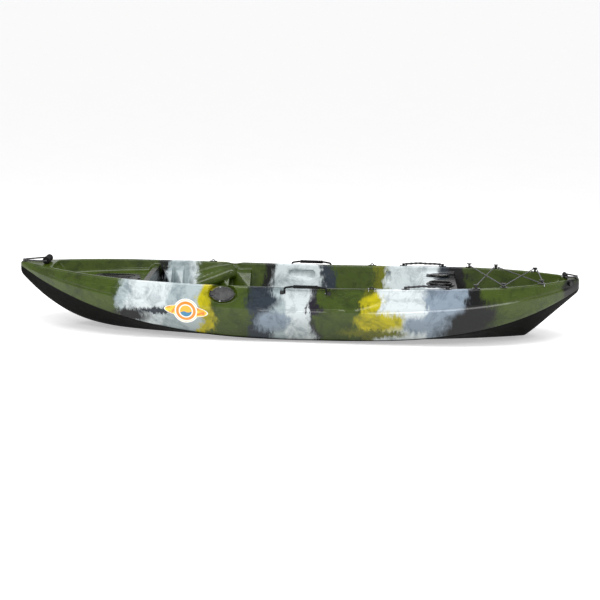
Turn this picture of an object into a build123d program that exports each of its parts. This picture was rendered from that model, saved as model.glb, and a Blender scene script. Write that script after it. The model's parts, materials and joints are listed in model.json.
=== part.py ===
from build123d import *
import os
from math import atan2, cos, hypot, pi, radians, sin, tan

os.makedirs("parts", exist_ok=True)

# A one-person sit-on-top fishing kayak. Millimetres. X runs from bow to stern, Y to starboard and
# Z up. The origin is on the ground under the middle of the hull.

# hull, outside
length = 2950.0
beam = 780.0
wall = 5.0
bow_tip_half = 18.0
stern_tip_half = 20.0
bow_keel_rise = 226.0
bow_keel_run = 710.0
stern_keel_rise = 213.0
stern_keel_run = 285.0
bow_rocker = 42.0
stern_rocker = 34.0
flat_keel_half = 350.0  # the keel is straight this far either side of the middle
chine_height_mid = 12.0
chine_rise_bow = 288.0
chine_rise_stern = 244.0
crease_height_mid = 168.0
crease_rise_bow = 148.0
crease_rise_stern = 117.0
rim_height_mid = 288.0
rim_rise_bow = 40.0
rim_rise_stern = 28.0
tumblehome = 22.0
rim_width = 26.0
chine_share = 0.86  # of the half-breadth
bottom_flat = 0.52  # half-width of the flat bottom, of the half-breadth
bottom_narrowing = 0.22
hull_stations = 36
closed_end = 45.0  # solid length at each tip

# wells in the deck, from bow to stern
nose_deck = 185.0
bow_well_floor = 238.0
bow_well_lip = 20.0
bow_well_ramp = 30.0
bulkhead = 30.0
bulkhead_drop = 26.0
cockpit_front = -770.0
footwell_floor = 90.0
footwell_slope = 36.0
thigh_hump = 40.0
hump_height = 118.0
seat_front = 84.0
seat_floor = 106.0
seat_back = 585.0
seat_back_slope = 80.0
bridge_height = 260.0
bridge_length = 170.0
tank_floor = 156.0
tank_front_slope = 25.0
tank_flat_end = 250.0  # from the end of the flat floor to the stern tip
stern_deck = 93.0
tank_lip = 26.0
well_draft = 0.25
above_deck = 430.0

# foot steps, rod tube bulge and grip slots in the cockpit walls: front and back along X
foot_steps = [(-757.0, -702.0), (-692.0, -640.0), (-470.0, -388.0), (-362.0, -272.0)]
step_top_drop = 38.0
step_front_depth = 12.0
step_back_depth = 70.0
grip_slot_x = 4.0
grip_slot_length = 146.0
grip_slot_height = 44.0
grip_slot_z = 236.0
grip_slot_depth = 20.0
strap_slot_x = 479.0
strap_slot_width = 20.0
strap_slot_height = 54.0

# scuppers, each a drain tube from a well floor to the bottom
scupper_top = 19.0
scupper_bottom = 16.0
scuppers = [(-430.0, 150.0), (130.0, 170.0), (500.0, 150.0), (960.0, 120.0)]

# bow hatch
hatch_length = 240.0
hatch_to_bulkhead = hatch_length / 2 + 45.0
hatch_width = 228.0
hatch_corner = 60.0
hatch_flange = 26.0
hatch_flange_thick = 4.0
hatch_collar = 4.0
hatch_collar_depth = 16.0
hatch_fit = 1.0
seal_width = 8.0
seal_height = 3.6
seal_gap = 0.4
lid_thick = 8.0
lid_inset = 3.0
lid_edge = 25.0  # plain edge round the dished middle
lid_dish = 3.0
lid_ribs = (-42.0, 0.0, 42.0)
lid_rib_width = 10.0
lid_rib_corner = 4.0
lid_rib_gap = 20.0
lid_tongue = (20.0, 46.0, 6.0)
hinge_pin = 3.0
hinge_knuckle = 7.0
hinge_offset = 10.0
hinge_bush_gap = 0.3
running_fit = 0.05

# round deck plate in the bridge, and the push-in drain plug in the port quarter
plate_bore = 51.0
plate_collar = plate_bore + 5.0
plate_flange = plate_bore + 24.0
plate_thick = 4.0
plate_collar_depth = 22.0
plate_screw_inset = 6.0
plate_cover = plate_bore + 11.0
plate_cover_thick = 6.0
plate_cup_wall = 5.0
cover_bar = (96.0, 12.0, 8.0)
cover_ridge = (16.0, 5.0, 3.0)
gasket_height = 2.0
gasket_width = 5.0
soft_gap = 0.3
drain_x = 1418.0
drain_z = 295.0
drain_bore = 9.0
drain_collar = 12.5
drain_flange = 17.0
drain_depth = 20.0
drain_pad_depth = 4.0
drain_head = 12.0

# flush rod holders
holder_bore = 21.0
holder_tube = holder_bore + 3.0
holder_collar = holder_tube + 3.5
holder_collar_depth = 36.0
holder_floor = 3.0
holder_flare = holder_bore + 3.5  # this radius is reached flare_run above the bore
flare_run = 40.0
flare_length = 60.0
tube_above = 30.0  # the tube is drawn this far above the flange and cut off
holder_bore_top = -24.0  # the bore's wall ends here, along the tube from the flange
holder_tilt = {"front": 52.0, "rear": 40.0}
holder_depth = {"front": 235.0, "rear": 150.0}
flange_long = 58.0
flange_short = 39.0
flange_thick = 4.0
cap_long = 50.0
cap_short = 35.0
cap_thick = 5.0
holder_fit = 1.5
tube_room = 2.0  # between a front tube and the wall that bulges round it
front_holder_x = -365.0
front_holder_z = 245.0
front_pad_angle = 25.0
front_pad_depth = 11.0
pad_length = 142.0
rear_holder_y = beam / 2 - 154.0

# carry handles at both ends
saddle_plate = (20.0, 46.0, 3.0)
saddle_block = (14.0, 20.0, 14.0)
strap_radius = 4.0
strap_height = 9.0
bow_saddle_to_tip = 20.0
bow_grip_to_saddle = 124.0
bow_grip_radius = 19.0
bow_grip_half = 50.0
stern_saddle_to_tip = 18.0
stern_grip_to_saddle = 58.0
stern_grip_radius = 12.0
stern_grip_half = 40.0
strap_end_bend = 9.0
strap_saddle_bend = 6.0
rest_gap = 0.4

# side carry handles
side_handle_x = 55.0
side_handle_half = 106.0
side_handle_z = 267.0
side_handle_stand_off = 10.0
side_handle_rise = 31.0
bail_radius = 5.0
side_grip_radius = 9.0
side_grip_half = 62.0
mount_size = (18.0, 18.0)
handle_pin = 2.5

# small deck fittings
seat_eye_x = 389.0
lanyard_eye_x = -484.0
eye_plate = (42.0, 13.0, 3.0)
eye_hoop = 8.0
eye_rod = 2.5
hook_x = [916.0, 1058.0, 1259.0]
hook_plate = (40.0, 14.0, 3.0)
hook_post = 6.0
hook_post_height = 18.0
hook_cap = (26.0, 20.0, 4.0)
bungee_radius = 3.0
bungee_low = 8.0
keeper_front = 560.0
keeper_back = 772.0
keeper_radius = 4.0
keeper_post = 8.0
keeper_gap = 0.5
keeper_post_height = 15.0
keeper_low = 10.5  # cord above the rim at its ends
# points of the cord: share of the way from post to post, then mm outwards and mm up
keeper_shape = [
    (0.0, 0.0, 0.0),
    (0.2, 2.5, 3.0),
    (0.42, -2.0, 6.5),
    (0.62, 3.0, 2.5),
    (0.82, -2.5, 4.5),
    (1.0, 0.0, 0.5),
]

# fasteners
screw_shank = 2.5
screw_head = 4.5
screw_head_height = 2.0
screw_hole = 2.6
screw_grip = 14.0
plate_sink = 1.0  # how far a fitting's plate starts below the curved rim before it is cut to it

# foam blocks inside the hull
foam_gap = 0.5
stern_foam = (880.0, 1040.0, 90.0)  # front, back, half-width
footwell_foam = (-300.0, -20.0, 110.0)

half_length = length / 2
bow_well_front = nose_deck - half_length
bow_well_back = cockpit_front - bulkhead
bridge_front = seat_back + seat_back_slope
bridge_back = bridge_front + bridge_length
tank_back = half_length - stern_deck
hatch_x = bow_well_back - hatch_to_bulkhead
bridge_middle = (bridge_front + bridge_back) / 2
sides = {"port": -1, "starboard": 1}


# hull outline along X

def towards_tip(x, run):
    # 1 at the nearer tip, falling to 0 at the given distance from it
    from_tip = half_length - abs(x)
    return max(0.0, 1 - from_tip / run)


def outer_half(x):
    u = min(1.0, abs(x) / half_length)
    if x < 0:
        return bow_tip_half + (beam / 2 - bow_tip_half) * (1 - u**4) ** 1.19
    return stern_tip_half + (beam / 2 - stern_tip_half) * (1 - u**5) ** 1.12


def rocker(x, rise):
    beyond_flat = max(0.0, abs(x) - flat_keel_half)
    return rise * (beyond_flat / (half_length - flat_keel_half)) ** 1.5


def keel_height(x):
    if x < 0:
        return bow_keel_rise * towards_tip(x, bow_keel_run) ** 3.2 + rocker(x, bow_rocker)
    return stern_keel_rise * towards_tip(x, stern_keel_run) ** 1.1 + rocker(x, stern_rocker)


def chine_height(x):
    if x < 0:
        return chine_height_mid + chine_rise_bow * towards_tip(x, half_length) ** 2.33
    return chine_height_mid + chine_rise_stern * towards_tip(x, half_length) ** 3


def crease_height(x):
    if x < 0:
        return crease_height_mid + crease_rise_bow * towards_tip(x, half_length) ** 2.3
    return crease_height_mid + crease_rise_stern * towards_tip(x, half_length) ** 2.1


def rim_height(x):
    if x < 0:
        return rim_height_mid + rim_rise_bow * towards_tip(x, half_length) ** 2.2
    return rim_height_mid + rim_rise_stern * towards_tip(x, half_length) ** 1.6


def rim_outer(x):
    return outer_half(x) * (1 - tumblehome / (beam / 2))


def rim_inner(x):
    return rim_outer(x) - rim_width


def rim_middle(x):
    return rim_outer(x) - rim_width / 2


def shoulder_half(x, z):
    # half-breadth on the shoulder panel between crease and rim
    share = (z - crease_height(x)) / (rim_height(x) - crease_height(x))
    return outer_half(x) + share * (rim_outer(x) - outer_half(x))


def mirrored(points):
    return points + [(-y, z) for y, z in reversed(points)]


def flat_face(points):
    return Face(Wire.make_polygon(points, close=True))


def loft_along_x(sections):
    # sections: list of (x, points in the YZ plane), joined by flat triangles
    rings = [[(x, y, z) for y, z in points] for x, points in sections]
    faces = [flat_face(rings[0]), flat_face(rings[-1])]
    for ring, following in zip(rings, rings[1:]):
        for i in range(len(ring)):
            j = (i + 1) % len(ring)
            faces.append(flat_face([ring[i], ring[j], following[j]]))
            faces.append(flat_face([ring[i], following[j], following[i]]))
    return Solid(Shell(faces))


def offset_inward(points, distance):
    # a closed outline moved inwards, square to each of its sides, with mitred corners
    moved = []
    for i, (y, z) in enumerate(points):
        before = Vector(*points[i - 1])
        after = Vector(*points[(i + 1) % len(points)])
        along_in = (Vector(y, z) - before).normalized()
        along_out = (after - Vector(y, z)).normalized()
        inward_in = Vector(-along_in.Y, along_in.X)
        inward_out = Vector(-along_out.Y, along_out.X)
        miter = (inward_in + inward_out) * (distance / (1 + inward_in.dot(inward_out)))
        moved.append((y + miter.X, z + miter.Y))
    return moved


def hull_section(x):
    keel_share = keel_height(x) / keel_height(-half_length)
    flat = outer_half(x) * (bottom_flat - bottom_narrowing * keel_share)
    return mirrored([
        (flat, keel_height(x)),
        (chine_share * outer_half(x), chine_height(x)),
        (outer_half(x), crease_height(x)),
        (rim_outer(x), rim_height(x)),
    ])


def hull_body(inset, end):
    # both skins share their stations, so that the wall between them is even
    sections = []
    for i in range(hull_stations + 1):
        x = -half_length * cos(pi * i / hull_stations)
        if half_length - abs(x) >= end:
            sections.append((x, offset_inward(hull_section(x), inset)))
    return loft_along_x(sections)


# wells: one trough through the deck whose floor goes up and down along X

def floor_profile():
    return [
        (bow_well_front, rim_height(bow_well_front) - bow_well_lip),
        (bow_well_front + 45, bow_well_floor),
        (bow_well_back - bow_well_ramp, bow_well_floor),
        (bow_well_back, rim_height(bow_well_back) - bulkhead_drop),
        (cockpit_front, rim_height(cockpit_front) - bulkhead_drop),
        (cockpit_front + footwell_slope, footwell_floor),
        (0.0, footwell_floor),
        (thigh_hump, hump_height),
        (seat_front, seat_floor),
        (seat_back, seat_floor),
        (bridge_front, bridge_height),
        (bridge_back, bridge_height),
        (bridge_back + tank_front_slope, tank_floor),
        (half_length - tank_flat_end, tank_floor),
        (tank_back, rim_height(tank_back) - tank_lip),
    ]


def offset_below(profile, distance):
    # the same line moved down and outwards, square to itself, with mitred corners
    moved = []
    last = len(profile) - 1
    for i, (x, z) in enumerate(profile):
        before = profile[max(i - 1, 0)]
        after = profile[min(i + 1, last)]
        angle_in = atan2(z - before[1], x - before[0])
        angle_out = atan2(after[1] - z, after[0] - x)
        if i == 0:
            angle_in = angle_out
        if i == last:
            angle_out = angle_in
        middle = (angle_in + angle_out) / 2
        miter = distance / cos((angle_out - angle_in) / 2)
        moved.append((x + miter * sin(middle), z - miter * cos(middle)))
    first_x, first_z = moved[0]
    last_x, last_z = moved[-1]
    moved[0] = (first_x - distance, first_z)
    moved[-1] = (last_x + distance, last_z)
    return moved


def trough(grow):
    # well solid, grown by the wall to give the outside of the well's skin
    profile = floor_profile()
    if grow:
        profile = offset_below(profile, grow)
    between = []
    for (x0, z0), (x1, z1) in zip(profile, profile[1:]):
        pieces = max(1, round((x1 - x0) / 130))
        between += [(x0 + (x1 - x0) * k / pieces, z0 + (z1 - z0) * k / pieces) for k in range(pieces)]
    between.append(profile[-1])
    sections = []
    for x, z in between:
        at_rim = rim_inner(x) + grow
        foot = at_rim - well_draft * (rim_height(x) - z)
        top = at_rim + well_draft * (above_deck - rim_height(x))
        sections.append((x, mirrored([(foot, z), (top, above_deck)])))
    return loft_along_x(sections)


def foot_step(front, back, side, shrink):
    # wedge on the cockpit wall whose back face takes the ball of the foot
    high = rim_height(back) - step_top_drop - shrink
    low = footwell_floor - 2 * wall
    skew = 1.25 * shrink
    front_y = rim_inner(front) - step_front_depth + skew
    back_y = rim_inner(back) - step_back_depth + skew
    outline = [
        (front, side * front_y, low),
        (back - shrink, side * back_y, low),
        (back - shrink, side * (rim_outer(back) - wall), low),
        (front, side * (rim_outer(front) - wall), low),
    ]
    base = Face(Wire.make_polygon(outline, close=True))
    return Solid.extrude(base, Vector(0, 0, high - low))


def grip_slot(side, grow):
    # long finger slot moulded into the cockpit wall
    wall_y = rim_inner(grip_slot_x)
    deep = wall_y - well_draft * (rim_height_mid - grip_slot_z) + grip_slot_depth + grow
    outline = SlotOverall(grip_slot_length + 2 * grow, grip_slot_height + 2 * grow)
    middle = (grip_slot_x, side * (wall_y - 60), grip_slot_z)
    start = Plane(origin=middle, z_dir=(0, side, 0), x_dir=(1, 0, 0))
    return extrude(start * outline, deep - wall_y + 60)


def strap_slot(side, grow):
    wall_y = rim_inner(strap_slot_x)
    depth = grip_slot_depth + 60 + grow
    size_x = strap_slot_width + 2 * grow
    size_z = strap_slot_height + 2 * grow
    middle = (strap_slot_x, side * (wall_y - 66 + depth / 2), grip_slot_z)
    return Pos(*middle) * Box(size_x, depth, size_z)


# rod holders: each in a local frame whose Z leaves the mounting face and whose X is its long way

def front_pad_plane(side):
    y = shoulder_half(front_holder_x, front_holder_z) - front_pad_depth
    up = radians(front_pad_angle)
    return Plane(
        origin=(front_holder_x, side * y, front_holder_z),
        z_dir=(0, side * cos(up), sin(up)),
        x_dir=(1, 0, 0),
    )


def rear_plane(side):
    spot = (bridge_middle, side * rear_holder_y, bridge_height)
    return Plane(origin=spot, z_dir=(0, 0, 1), x_dir=(1, 0, 0))


def tube_plane(face, end):
    # frame of the rod tube: its Z leans from the face's normal towards the face's X
    lean = radians(holder_tilt[end])
    along = face.z_dir * cos(lean) + face.x_dir * sin(lean)
    return Plane(origin=face.origin, z_dir=along, x_dir=face.y_dir)


def drain_plane():
    slope = (outer_half(drain_x + 5) - outer_half(drain_x - 5)) / 10
    normal = Vector(-slope, -1, 0).normalized()
    surface = Vector(drain_x, -shoulder_half(drain_x, drain_z), drain_z)
    return Plane(origin=surface - normal * drain_pad_depth, z_dir=normal, x_dir=(0, 0, 1))


def pad_cut(face, long, wide, grow):
    # block that planes a flat on the hull, above the face plane
    block = Pos(0, 0, 50 - grow) * Box(long + 2 * grow, wide + 2 * grow, 100)
    return face * block


def bulge_shape(face, radius, deep):
    # room that the wall leaves around a front rod tube
    return tube_plane(face, "front") * (Pos(0, 0, 20 - deep / 2) * Cylinder(radius, deep + 40))


def holder_opening(face, end):
    # oval hole for the collar, square to the face
    lean = radians(holder_tilt[end])
    long = holder_collar / cos(lean) + wall * tan(lean) + holder_fit
    oval = Ellipse(long, holder_collar + holder_fit)
    shift = -wall * tan(lean) / 2
    return face * (Pos(shift, 0, -2 * wall) * extrude(oval, 4 * wall))


def rounded_prism(long, wide, corner, low, high):
    return Pos(0, 0, low) * extrude(RectangleRounded(long, wide, corner), high - low)


holder_faces = {}
for side_name, side in sides.items():
    holder_faces["front_" + side_name] = (front_pad_plane(side), "front")
    holder_faces["rear_" + side_name] = (rear_plane(side), "rear")

hatch_opening_length = hatch_length - 2 * hatch_flange + 2 * hatch_collar
hatch_opening_width = hatch_width - 2 * hatch_flange + 2 * hatch_collar
hatch_opening_corner = hatch_corner - hatch_flange + hatch_collar


def scupper_tube(x, y, grow):
    top = above_deck
    low = -20.0
    floor = footwell_floor
    slope = (scupper_top - scupper_bottom) / floor
    bottom_radius = scupper_bottom + slope * low + grow
    top_radius = scupper_bottom + slope * top + grow
    return Pos(x, y, (top + low) / 2) * Cone(bottom_radius, top_radius, top - low)


def all_scuppers(grow):
    tubes = []
    for x, y in scuppers:
        for side in sides.values():
            tubes.append(scupper_tube(x, side * y, grow))
    return tubes


outer_solid = hull_body(0.0, 0.0)
inner_solid = hull_body(wall, closed_end)
open_well = trough(0.0)
well_skin = trough(wall)

for side in sides.values():
    face = front_pad_plane(side)
    outer_solid -= pad_cut(face, pad_length, 160, 0.0)
    inner_solid -= pad_cut(face, pad_length, 160, wall)
    open_well += grip_slot(side, 0.0)
    well_skin += grip_slot(side, wall)
    open_well += strap_slot(side, 0.0)
    well_skin += strap_slot(side, wall)
    for front, back in foot_steps:
        open_well -= foot_step(front, back, side, 0.0)
        well_skin -= foot_step(front, back, side, wall)
    for radius, deep in ((holder_tube, holder_depth["front"]), (holder_collar, holder_collar_depth)):
        open_well -= bulge_shape(face, radius + tube_room + wall, deep + tube_room + wall)
        well_skin -= bulge_shape(face, radius + tube_room, deep + tube_room)

drain_face = drain_plane()
outer_solid -= pad_cut(drain_face, 60, 60, 0.0)

cavity = inner_solid - well_skin
for tube in all_scuppers(wall):
    cavity -= tube
boss_depth = drain_depth + 12
drain_boss = drain_face * (Pos(0, 0, -boss_depth / 2) * Cylinder(drain_collar + wall, boss_depth))
cavity -= drain_boss

hull_shell = outer_solid - open_well
hull_shell -= cavity
for tube in all_scuppers(0.0):
    hull_shell -= tube
for face, end in holder_faces.values():
    hull_shell -= holder_opening(face, end)
hatch_hole = rounded_prism(
    hatch_opening_length + 2 * hatch_fit,
    hatch_opening_width + 2 * hatch_fit,
    hatch_opening_corner + hatch_fit,
    bow_well_floor - 3 * wall,
    bow_well_floor + wall,
)
hull_shell -= Pos(hatch_x, 0, 0) * hatch_hole
hull_shell -= Pos(bridge_middle, 0, bridge_height) * Cylinder(plate_collar + hatch_fit, 4 * wall)
hull_shell -= drain_face * (Pos(0, 0, -50) * Cylinder(drain_collar + 0.5, 110))

parts = {"hull_shell": hull_shell}


# fasteners and small helpers

def screw(place):
    # pan head screw with its head on the XY plane of the place
    head = Pos(0, 0, screw_head_height / 2) * Cylinder(screw_head, screw_head_height)
    shank = Pos(0, 0, -screw_grip / 2) * Cylinder(screw_shank, screw_grip)
    return place * (head + shank)


def screw_cut(place):
    return place * Cylinder(screw_hole, 3 * screw_grip)


def clear_of_hull(piece):
    # the piece's foot follows the hull's outside
    return piece - outer_solid


def cord_solid(points, bends, radius):
    path = FilletPolyline(*points, radius=bends)
    start = path.edges()[0]
    section = Plane(origin=start @ 0, z_dir=start % 0) * Circle(radius)
    return sweep(section, path=path)


# bow hatch: frame, seal, hinged lid

hatch_place = Pos(hatch_x, 0, bow_well_floor)
flange_top = hatch_flange_thick
seal_top = flange_top + seal_height
lid_low = seal_top + seal_gap
lid_high = lid_low + lid_thick
hinge_x = -(hatch_length / 2 - lid_inset + hinge_offset)
hinge_z = lid_low + lid_thick / 2
hinge_place = hatch_place * Pos(hinge_x, 0, hinge_z)
knuckle_y = (14.0, 32.0, 46.0)  # inner end of the lid's knuckles, their outer end, end of the lugs


def along_y(radius, y0, y1):
    return Pos(0, (y0 + y1) / 2, 0) * (Rot(90, 0, 0) * Cylinder(radius, abs(y1 - y0)))


hatch_frame = rounded_prism(hatch_length, hatch_width, hatch_corner, 0, flange_top)
hatch_frame += Pos(hinge_x + 10, 0, flange_top / 2) * Box(34, 2 * knuckle_y[2] + 8, flange_top)
collar = rounded_prism(
    hatch_opening_length, hatch_opening_width, hatch_opening_corner, -hatch_collar_depth, flange_top
)
hatch_frame += collar
clear_length = hatch_opening_length - 2 * hatch_collar
clear_width = hatch_opening_width - 2 * hatch_collar
hatch_frame -= rounded_prism(
    clear_length, clear_width, hatch_opening_corner - hatch_collar, -hatch_collar_depth - 5, flange_top + 5
)
hatch_screws = []
hatch_cuts = []
for k in range(8):
    angle = radians(45 * k + 22.5)
    x = (hatch_length / 2 - 8) * max(-1, min(1, 1.25 * cos(angle)))
    y = (hatch_width / 2 - 8) * max(-1, min(1, 1.25 * sin(angle)))
    pull_in = max(0.0, hypot(x, y) - (hatch_length / 2 + 17)) / hypot(x, y)
    place = Pos(x * (1 - pull_in), y * (1 - pull_in), flange_top)
    hatch_cuts.append(screw_cut(place))
    hatch_screws.append(hatch_place * screw(place))
for cut in hatch_cuts:
    hatch_frame -= cut
for y_sign in sides.values():
    lug = along_y(hinge_knuckle, y_sign * (knuckle_y[1] + hinge_bush_gap), y_sign * knuckle_y[2])
    foot_height = hinge_z - flange_top / 2
    foot = Pos(0, y_sign * (knuckle_y[1] + hinge_bush_gap + knuckle_y[2]) / 2, -foot_height / 2)
    foot_box = foot * Box(2 * hinge_knuckle, knuckle_y[2] - knuckle_y[1] - hinge_bush_gap, foot_height)
    hatch_frame += Pos(hinge_x, 0, hinge_z) * (lug + foot_box)
hatch_frame -= Pos(hinge_x, 0, hinge_z) * along_y(hinge_pin + running_fit, -60, 60)
parts["bow_hatch_frame"] = hatch_place * hatch_frame

seal_outer_length = clear_length + 2 * seal_width
seal_outer_width = clear_width + 2 * seal_width
seal_corner = hatch_opening_corner - hatch_collar
hatch_seal = rounded_prism(
    seal_outer_length, seal_outer_width, seal_corner + seal_width, flange_top, seal_top
)
hatch_seal -= rounded_prism(clear_length, clear_width, seal_corner, flange_top - 1, seal_top + 1)
parts["bow_hatch_seal"] = hatch_place * hatch_seal

lid_length = hatch_length - 2 * lid_inset
lid_width = hatch_width - 2 * lid_inset
hatch_lid = rounded_prism(lid_length, lid_width, hatch_corner - lid_inset, lid_low, lid_high)
dish_corner = hatch_corner - lid_inset - lid_edge
dish_low = lid_high - lid_dish
hatch_lid -= rounded_prism(
    lid_length - 2 * lid_edge, lid_width - 2 * lid_edge, dish_corner, dish_low, lid_high + 1
)
rib_length = lid_length - 2 * (lid_edge + lid_rib_gap)
rib = rounded_prism(rib_length, lid_rib_width, lid_rib_corner, dish_low - 1, lid_high - 0.5)
for rib_y in lid_ribs:
    hatch_lid += Pos(0, rib_y, 0) * rib
tongue_x = lid_length / 2 + 2
hatch_lid += Pos(tongue_x, 0, lid_high - lid_tongue[2] / 2) * Box(*lid_tongue)
for y_sign in sides.values():
    knuckle = along_y(hinge_knuckle, y_sign * knuckle_y[0], y_sign * knuckle_y[1])
    web = Pos(hinge_offset / 2 + 3, y_sign * (knuckle_y[0] + knuckle_y[1]) / 2, 0)
    web_box = web * Box(hinge_offset + 6, knuckle_y[1] - knuckle_y[0], lid_thick)
    hatch_lid += Pos(hinge_x, 0, hinge_z) * (knuckle + web_box)
hatch_lid -= Pos(hinge_x, 0, hinge_z) * along_y(hinge_pin + running_fit, -60, 60)
parts["bow_hatch_lid"] = hatch_place * hatch_lid
parts["bow_hatch_pin"] = hinge_place * along_y(hinge_pin, -knuckle_y[2], knuckle_y[2])
parts["bow_hatch_screws"] = Compound(children=hatch_screws)


# closures: a collar, a gasket and a cap. The deck plate's cap screws in and the drain's is a push-in plug

def collar_ring(flange, collar_radius, bore, thick, depth):
    ring = Pos(0, 0, thick / 2) * Cylinder(flange, thick)
    ring += Pos(0, 0, (thick - depth) / 2) * Cylinder(collar_radius, thick + depth)
    return ring - Cylinder(bore, 4 * depth)


def flat_ring(outer, inner, low, high):
    disc = Pos(0, 0, (low + high) / 2) * Cylinder(outer, high - low)
    return disc - Cylinder(inner, 4 * high + 40)


def screw_cap(head, bore, low, head_thick, depth):
    cap = Pos(0, 0, low + head_thick / 2) * Cylinder(head, head_thick)
    cap += Pos(0, 0, (low - depth) / 2) * Cylinder(bore - running_fit, low + depth)
    return cap


plate_place = Pos(bridge_middle, 0, bridge_height)
plate_ring = collar_ring(plate_flange, plate_collar, plate_bore, plate_thick, plate_collar_depth)
plate_screws = []
for k in range(6):
    turn = radians(60 * k + 30)
    out = plate_flange - plate_screw_inset
    place = Pos(out * cos(turn), out * sin(turn), plate_thick)
    plate_ring -= screw_cut(place)
    plate_screws.append(plate_place * screw(place))
gasket_low = plate_thick + soft_gap
cover_low = gasket_low + gasket_height + soft_gap
gasket_inner = plate_bore + 2
gasket_outer = gasket_inner + gasket_width
plate_gasket = flat_ring(gasket_outer, gasket_inner, gasket_low, gasket_low + gasket_height)
plate_cap = screw_cap(plate_cover, plate_bore, cover_low, plate_cover_thick, plate_collar_depth - 6)
cup = Pos(0, 0, -10) * Cylinder(plate_bore - plate_cup_wall, 2 * plate_collar_depth - 12)
plate_cap -= cup & (Pos(0, 0, cover_low - 50) * Cylinder(plate_bore, 100))
cover_top = cover_low + plate_cover_thick
plate_cap += Pos(0, 0, cover_top + 3) * Box(*cover_bar)
for k in range(3):
    turn = 60 * k + 60
    for way in (0, 180):
        plate_cap += Rot(0, 0, turn + way) * (Pos(50, 0, cover_top + 1) * Box(*cover_ridge))
parts["deck_plate_ring"] = plate_place * plate_ring
parts["deck_plate_gasket"] = plate_place * plate_gasket
parts["deck_plate_cover"] = plate_place * plate_cap
parts["deck_plate_screws"] = Compound(children=plate_screws)

drain_ring = collar_ring(drain_flange, drain_collar, drain_bore, 3.0, drain_depth)
washer_low = 3.0 + soft_gap
drain_washer = flat_ring(drain_bore + 2.6, drain_bore + 0.3, washer_low, washer_low + 1.6)
head_low = washer_low + 1.6 + soft_gap
drain_plug = screw_cap(drain_head, drain_bore, head_low, 7.0, drain_depth - 6)
for k in range(12):
    groove = Rot(0, 0, 30 * k) * (Pos(drain_head, 0, head_low + 4) * Cylinder(1.2, 6.2))
    drain_plug -= groove
parts["drain_socket"] = drain_face * drain_ring
parts["drain_washer"] = drain_face * drain_washer
parts["drain_plug"] = drain_face * drain_plug


# rod holders and their hinged caps

cap_low = flange_thick + screw_head_height + soft_gap
cap_hinge_x = -(flange_long + 5.0)
cap_hinge_z = cap_low + cap_thick / 2
cap_pin = 1.5
cap_knuckle = 3.5
pin_half = 15.0
cap_lug_width = 7.0
cap_lug_y = 11.5


def rod_holder(end):
    depth = holder_depth[end]
    to_tube = Rot(0, holder_tilt[end], 0)
    tube_middle = (tube_above - depth) / 2
    tube = to_tube * (Pos(0, 0, tube_middle) * Cylinder(holder_tube, depth + tube_above))
    collar_length = holder_collar_depth + tube_above
    collar_middle = (tube_above - holder_collar_depth) / 2
    tube += to_tube * (Pos(0, 0, collar_middle) * Cylinder(holder_collar, collar_length))
    below = Pos(0, 0, flange_thick - 150) * Box(300, 300, 300)
    body = (tube & below) + extrude(Ellipse(flange_long, flange_short), flange_thick)
    body += Pos(cap_hinge_x + 7, 0, flange_thick / 2) * Box(24, 2 * pin_half, flange_thick)
    for way in (-1, 1):
        lug = Pos(0, way * cap_lug_y, 0) * (Rot(90, 0, 0) * Cylinder(cap_knuckle, cap_lug_width))
        foot = Box(2 * cap_knuckle, cap_lug_width, cap_hinge_z)
        lug += Pos(0, way * cap_lug_y, -cap_hinge_z / 2) * foot
        body += Pos(cap_hinge_x, 0, cap_hinge_z) * lug
    body -= Pos(cap_hinge_x, 0, cap_hinge_z) * (Rot(90, 0, 0) * Cylinder(cap_pin, 40))
    bore_length = depth - holder_floor
    bore_middle = (holder_bore_top - bore_length) / 2
    body -= to_tube * (Pos(0, 0, bore_middle) * Cylinder(holder_bore, bore_length + holder_bore_top))
    flare_end = holder_bore + (holder_flare - holder_bore) * flare_length / flare_run
    flare_middle = holder_bore_top + flare_length / 2
    body -= to_tube * (Pos(0, 0, flare_middle) * Cone(holder_bore, flare_end, flare_length))
    return body


def rod_cap():
    cap = Pos(0, 0, cap_low) * extrude(Ellipse(cap_long, cap_short), cap_thick)
    cap = chamfer(cap.edges().group_by(Axis.Z)[-1], 1.5)
    cap += Pos(cap_long - 2, 0, cap_low + cap_thick / 2) * Box(16, 18, cap_thick)
    knuckle = Rot(90, 0, 0) * Cylinder(cap_knuckle, 15.4)
    arm = Pos(10, 0, 0) * Box(20, 15.4, cap_thick)
    hinge = Pos(cap_hinge_x, 0, cap_hinge_z)
    cap += hinge * (knuckle + arm)
    cap -= hinge * (Rot(90, 0, 0) * Cylinder(cap_pin + running_fit, 40))
    return cap


holder_screws = []
cap_pins = []
screw_spots = [(51.5, 0, flange_thick), (-14.0, 34.0, flange_thick), (-14.0, -34.0, flange_thick)]
for name, (face, end) in holder_faces.items():
    holder = rod_holder(end)
    for x, y, z in screw_spots:
        place = Pos(x, y, z)
        holder -= screw_cut(place)
        holder_screws.append(face * screw(place))
    parts["rod_holder_" + name] = face * holder
    parts["rod_cap_" + name] = face * rod_cap()
    pin = Pos(cap_hinge_x, 0, cap_hinge_z) * (Rot(90, 0, 0) * Cylinder(cap_pin, 2 * pin_half))
    cap_pins.append(face * pin)
parts["rod_cap_pins"] = Compound(children=cap_pins)
parts["rod_holder_screws"] = Compound(children=holder_screws)


# carry handles at the tips: a saddle, a loop of strap and a grip across the hull

fitting_screws = []


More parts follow.
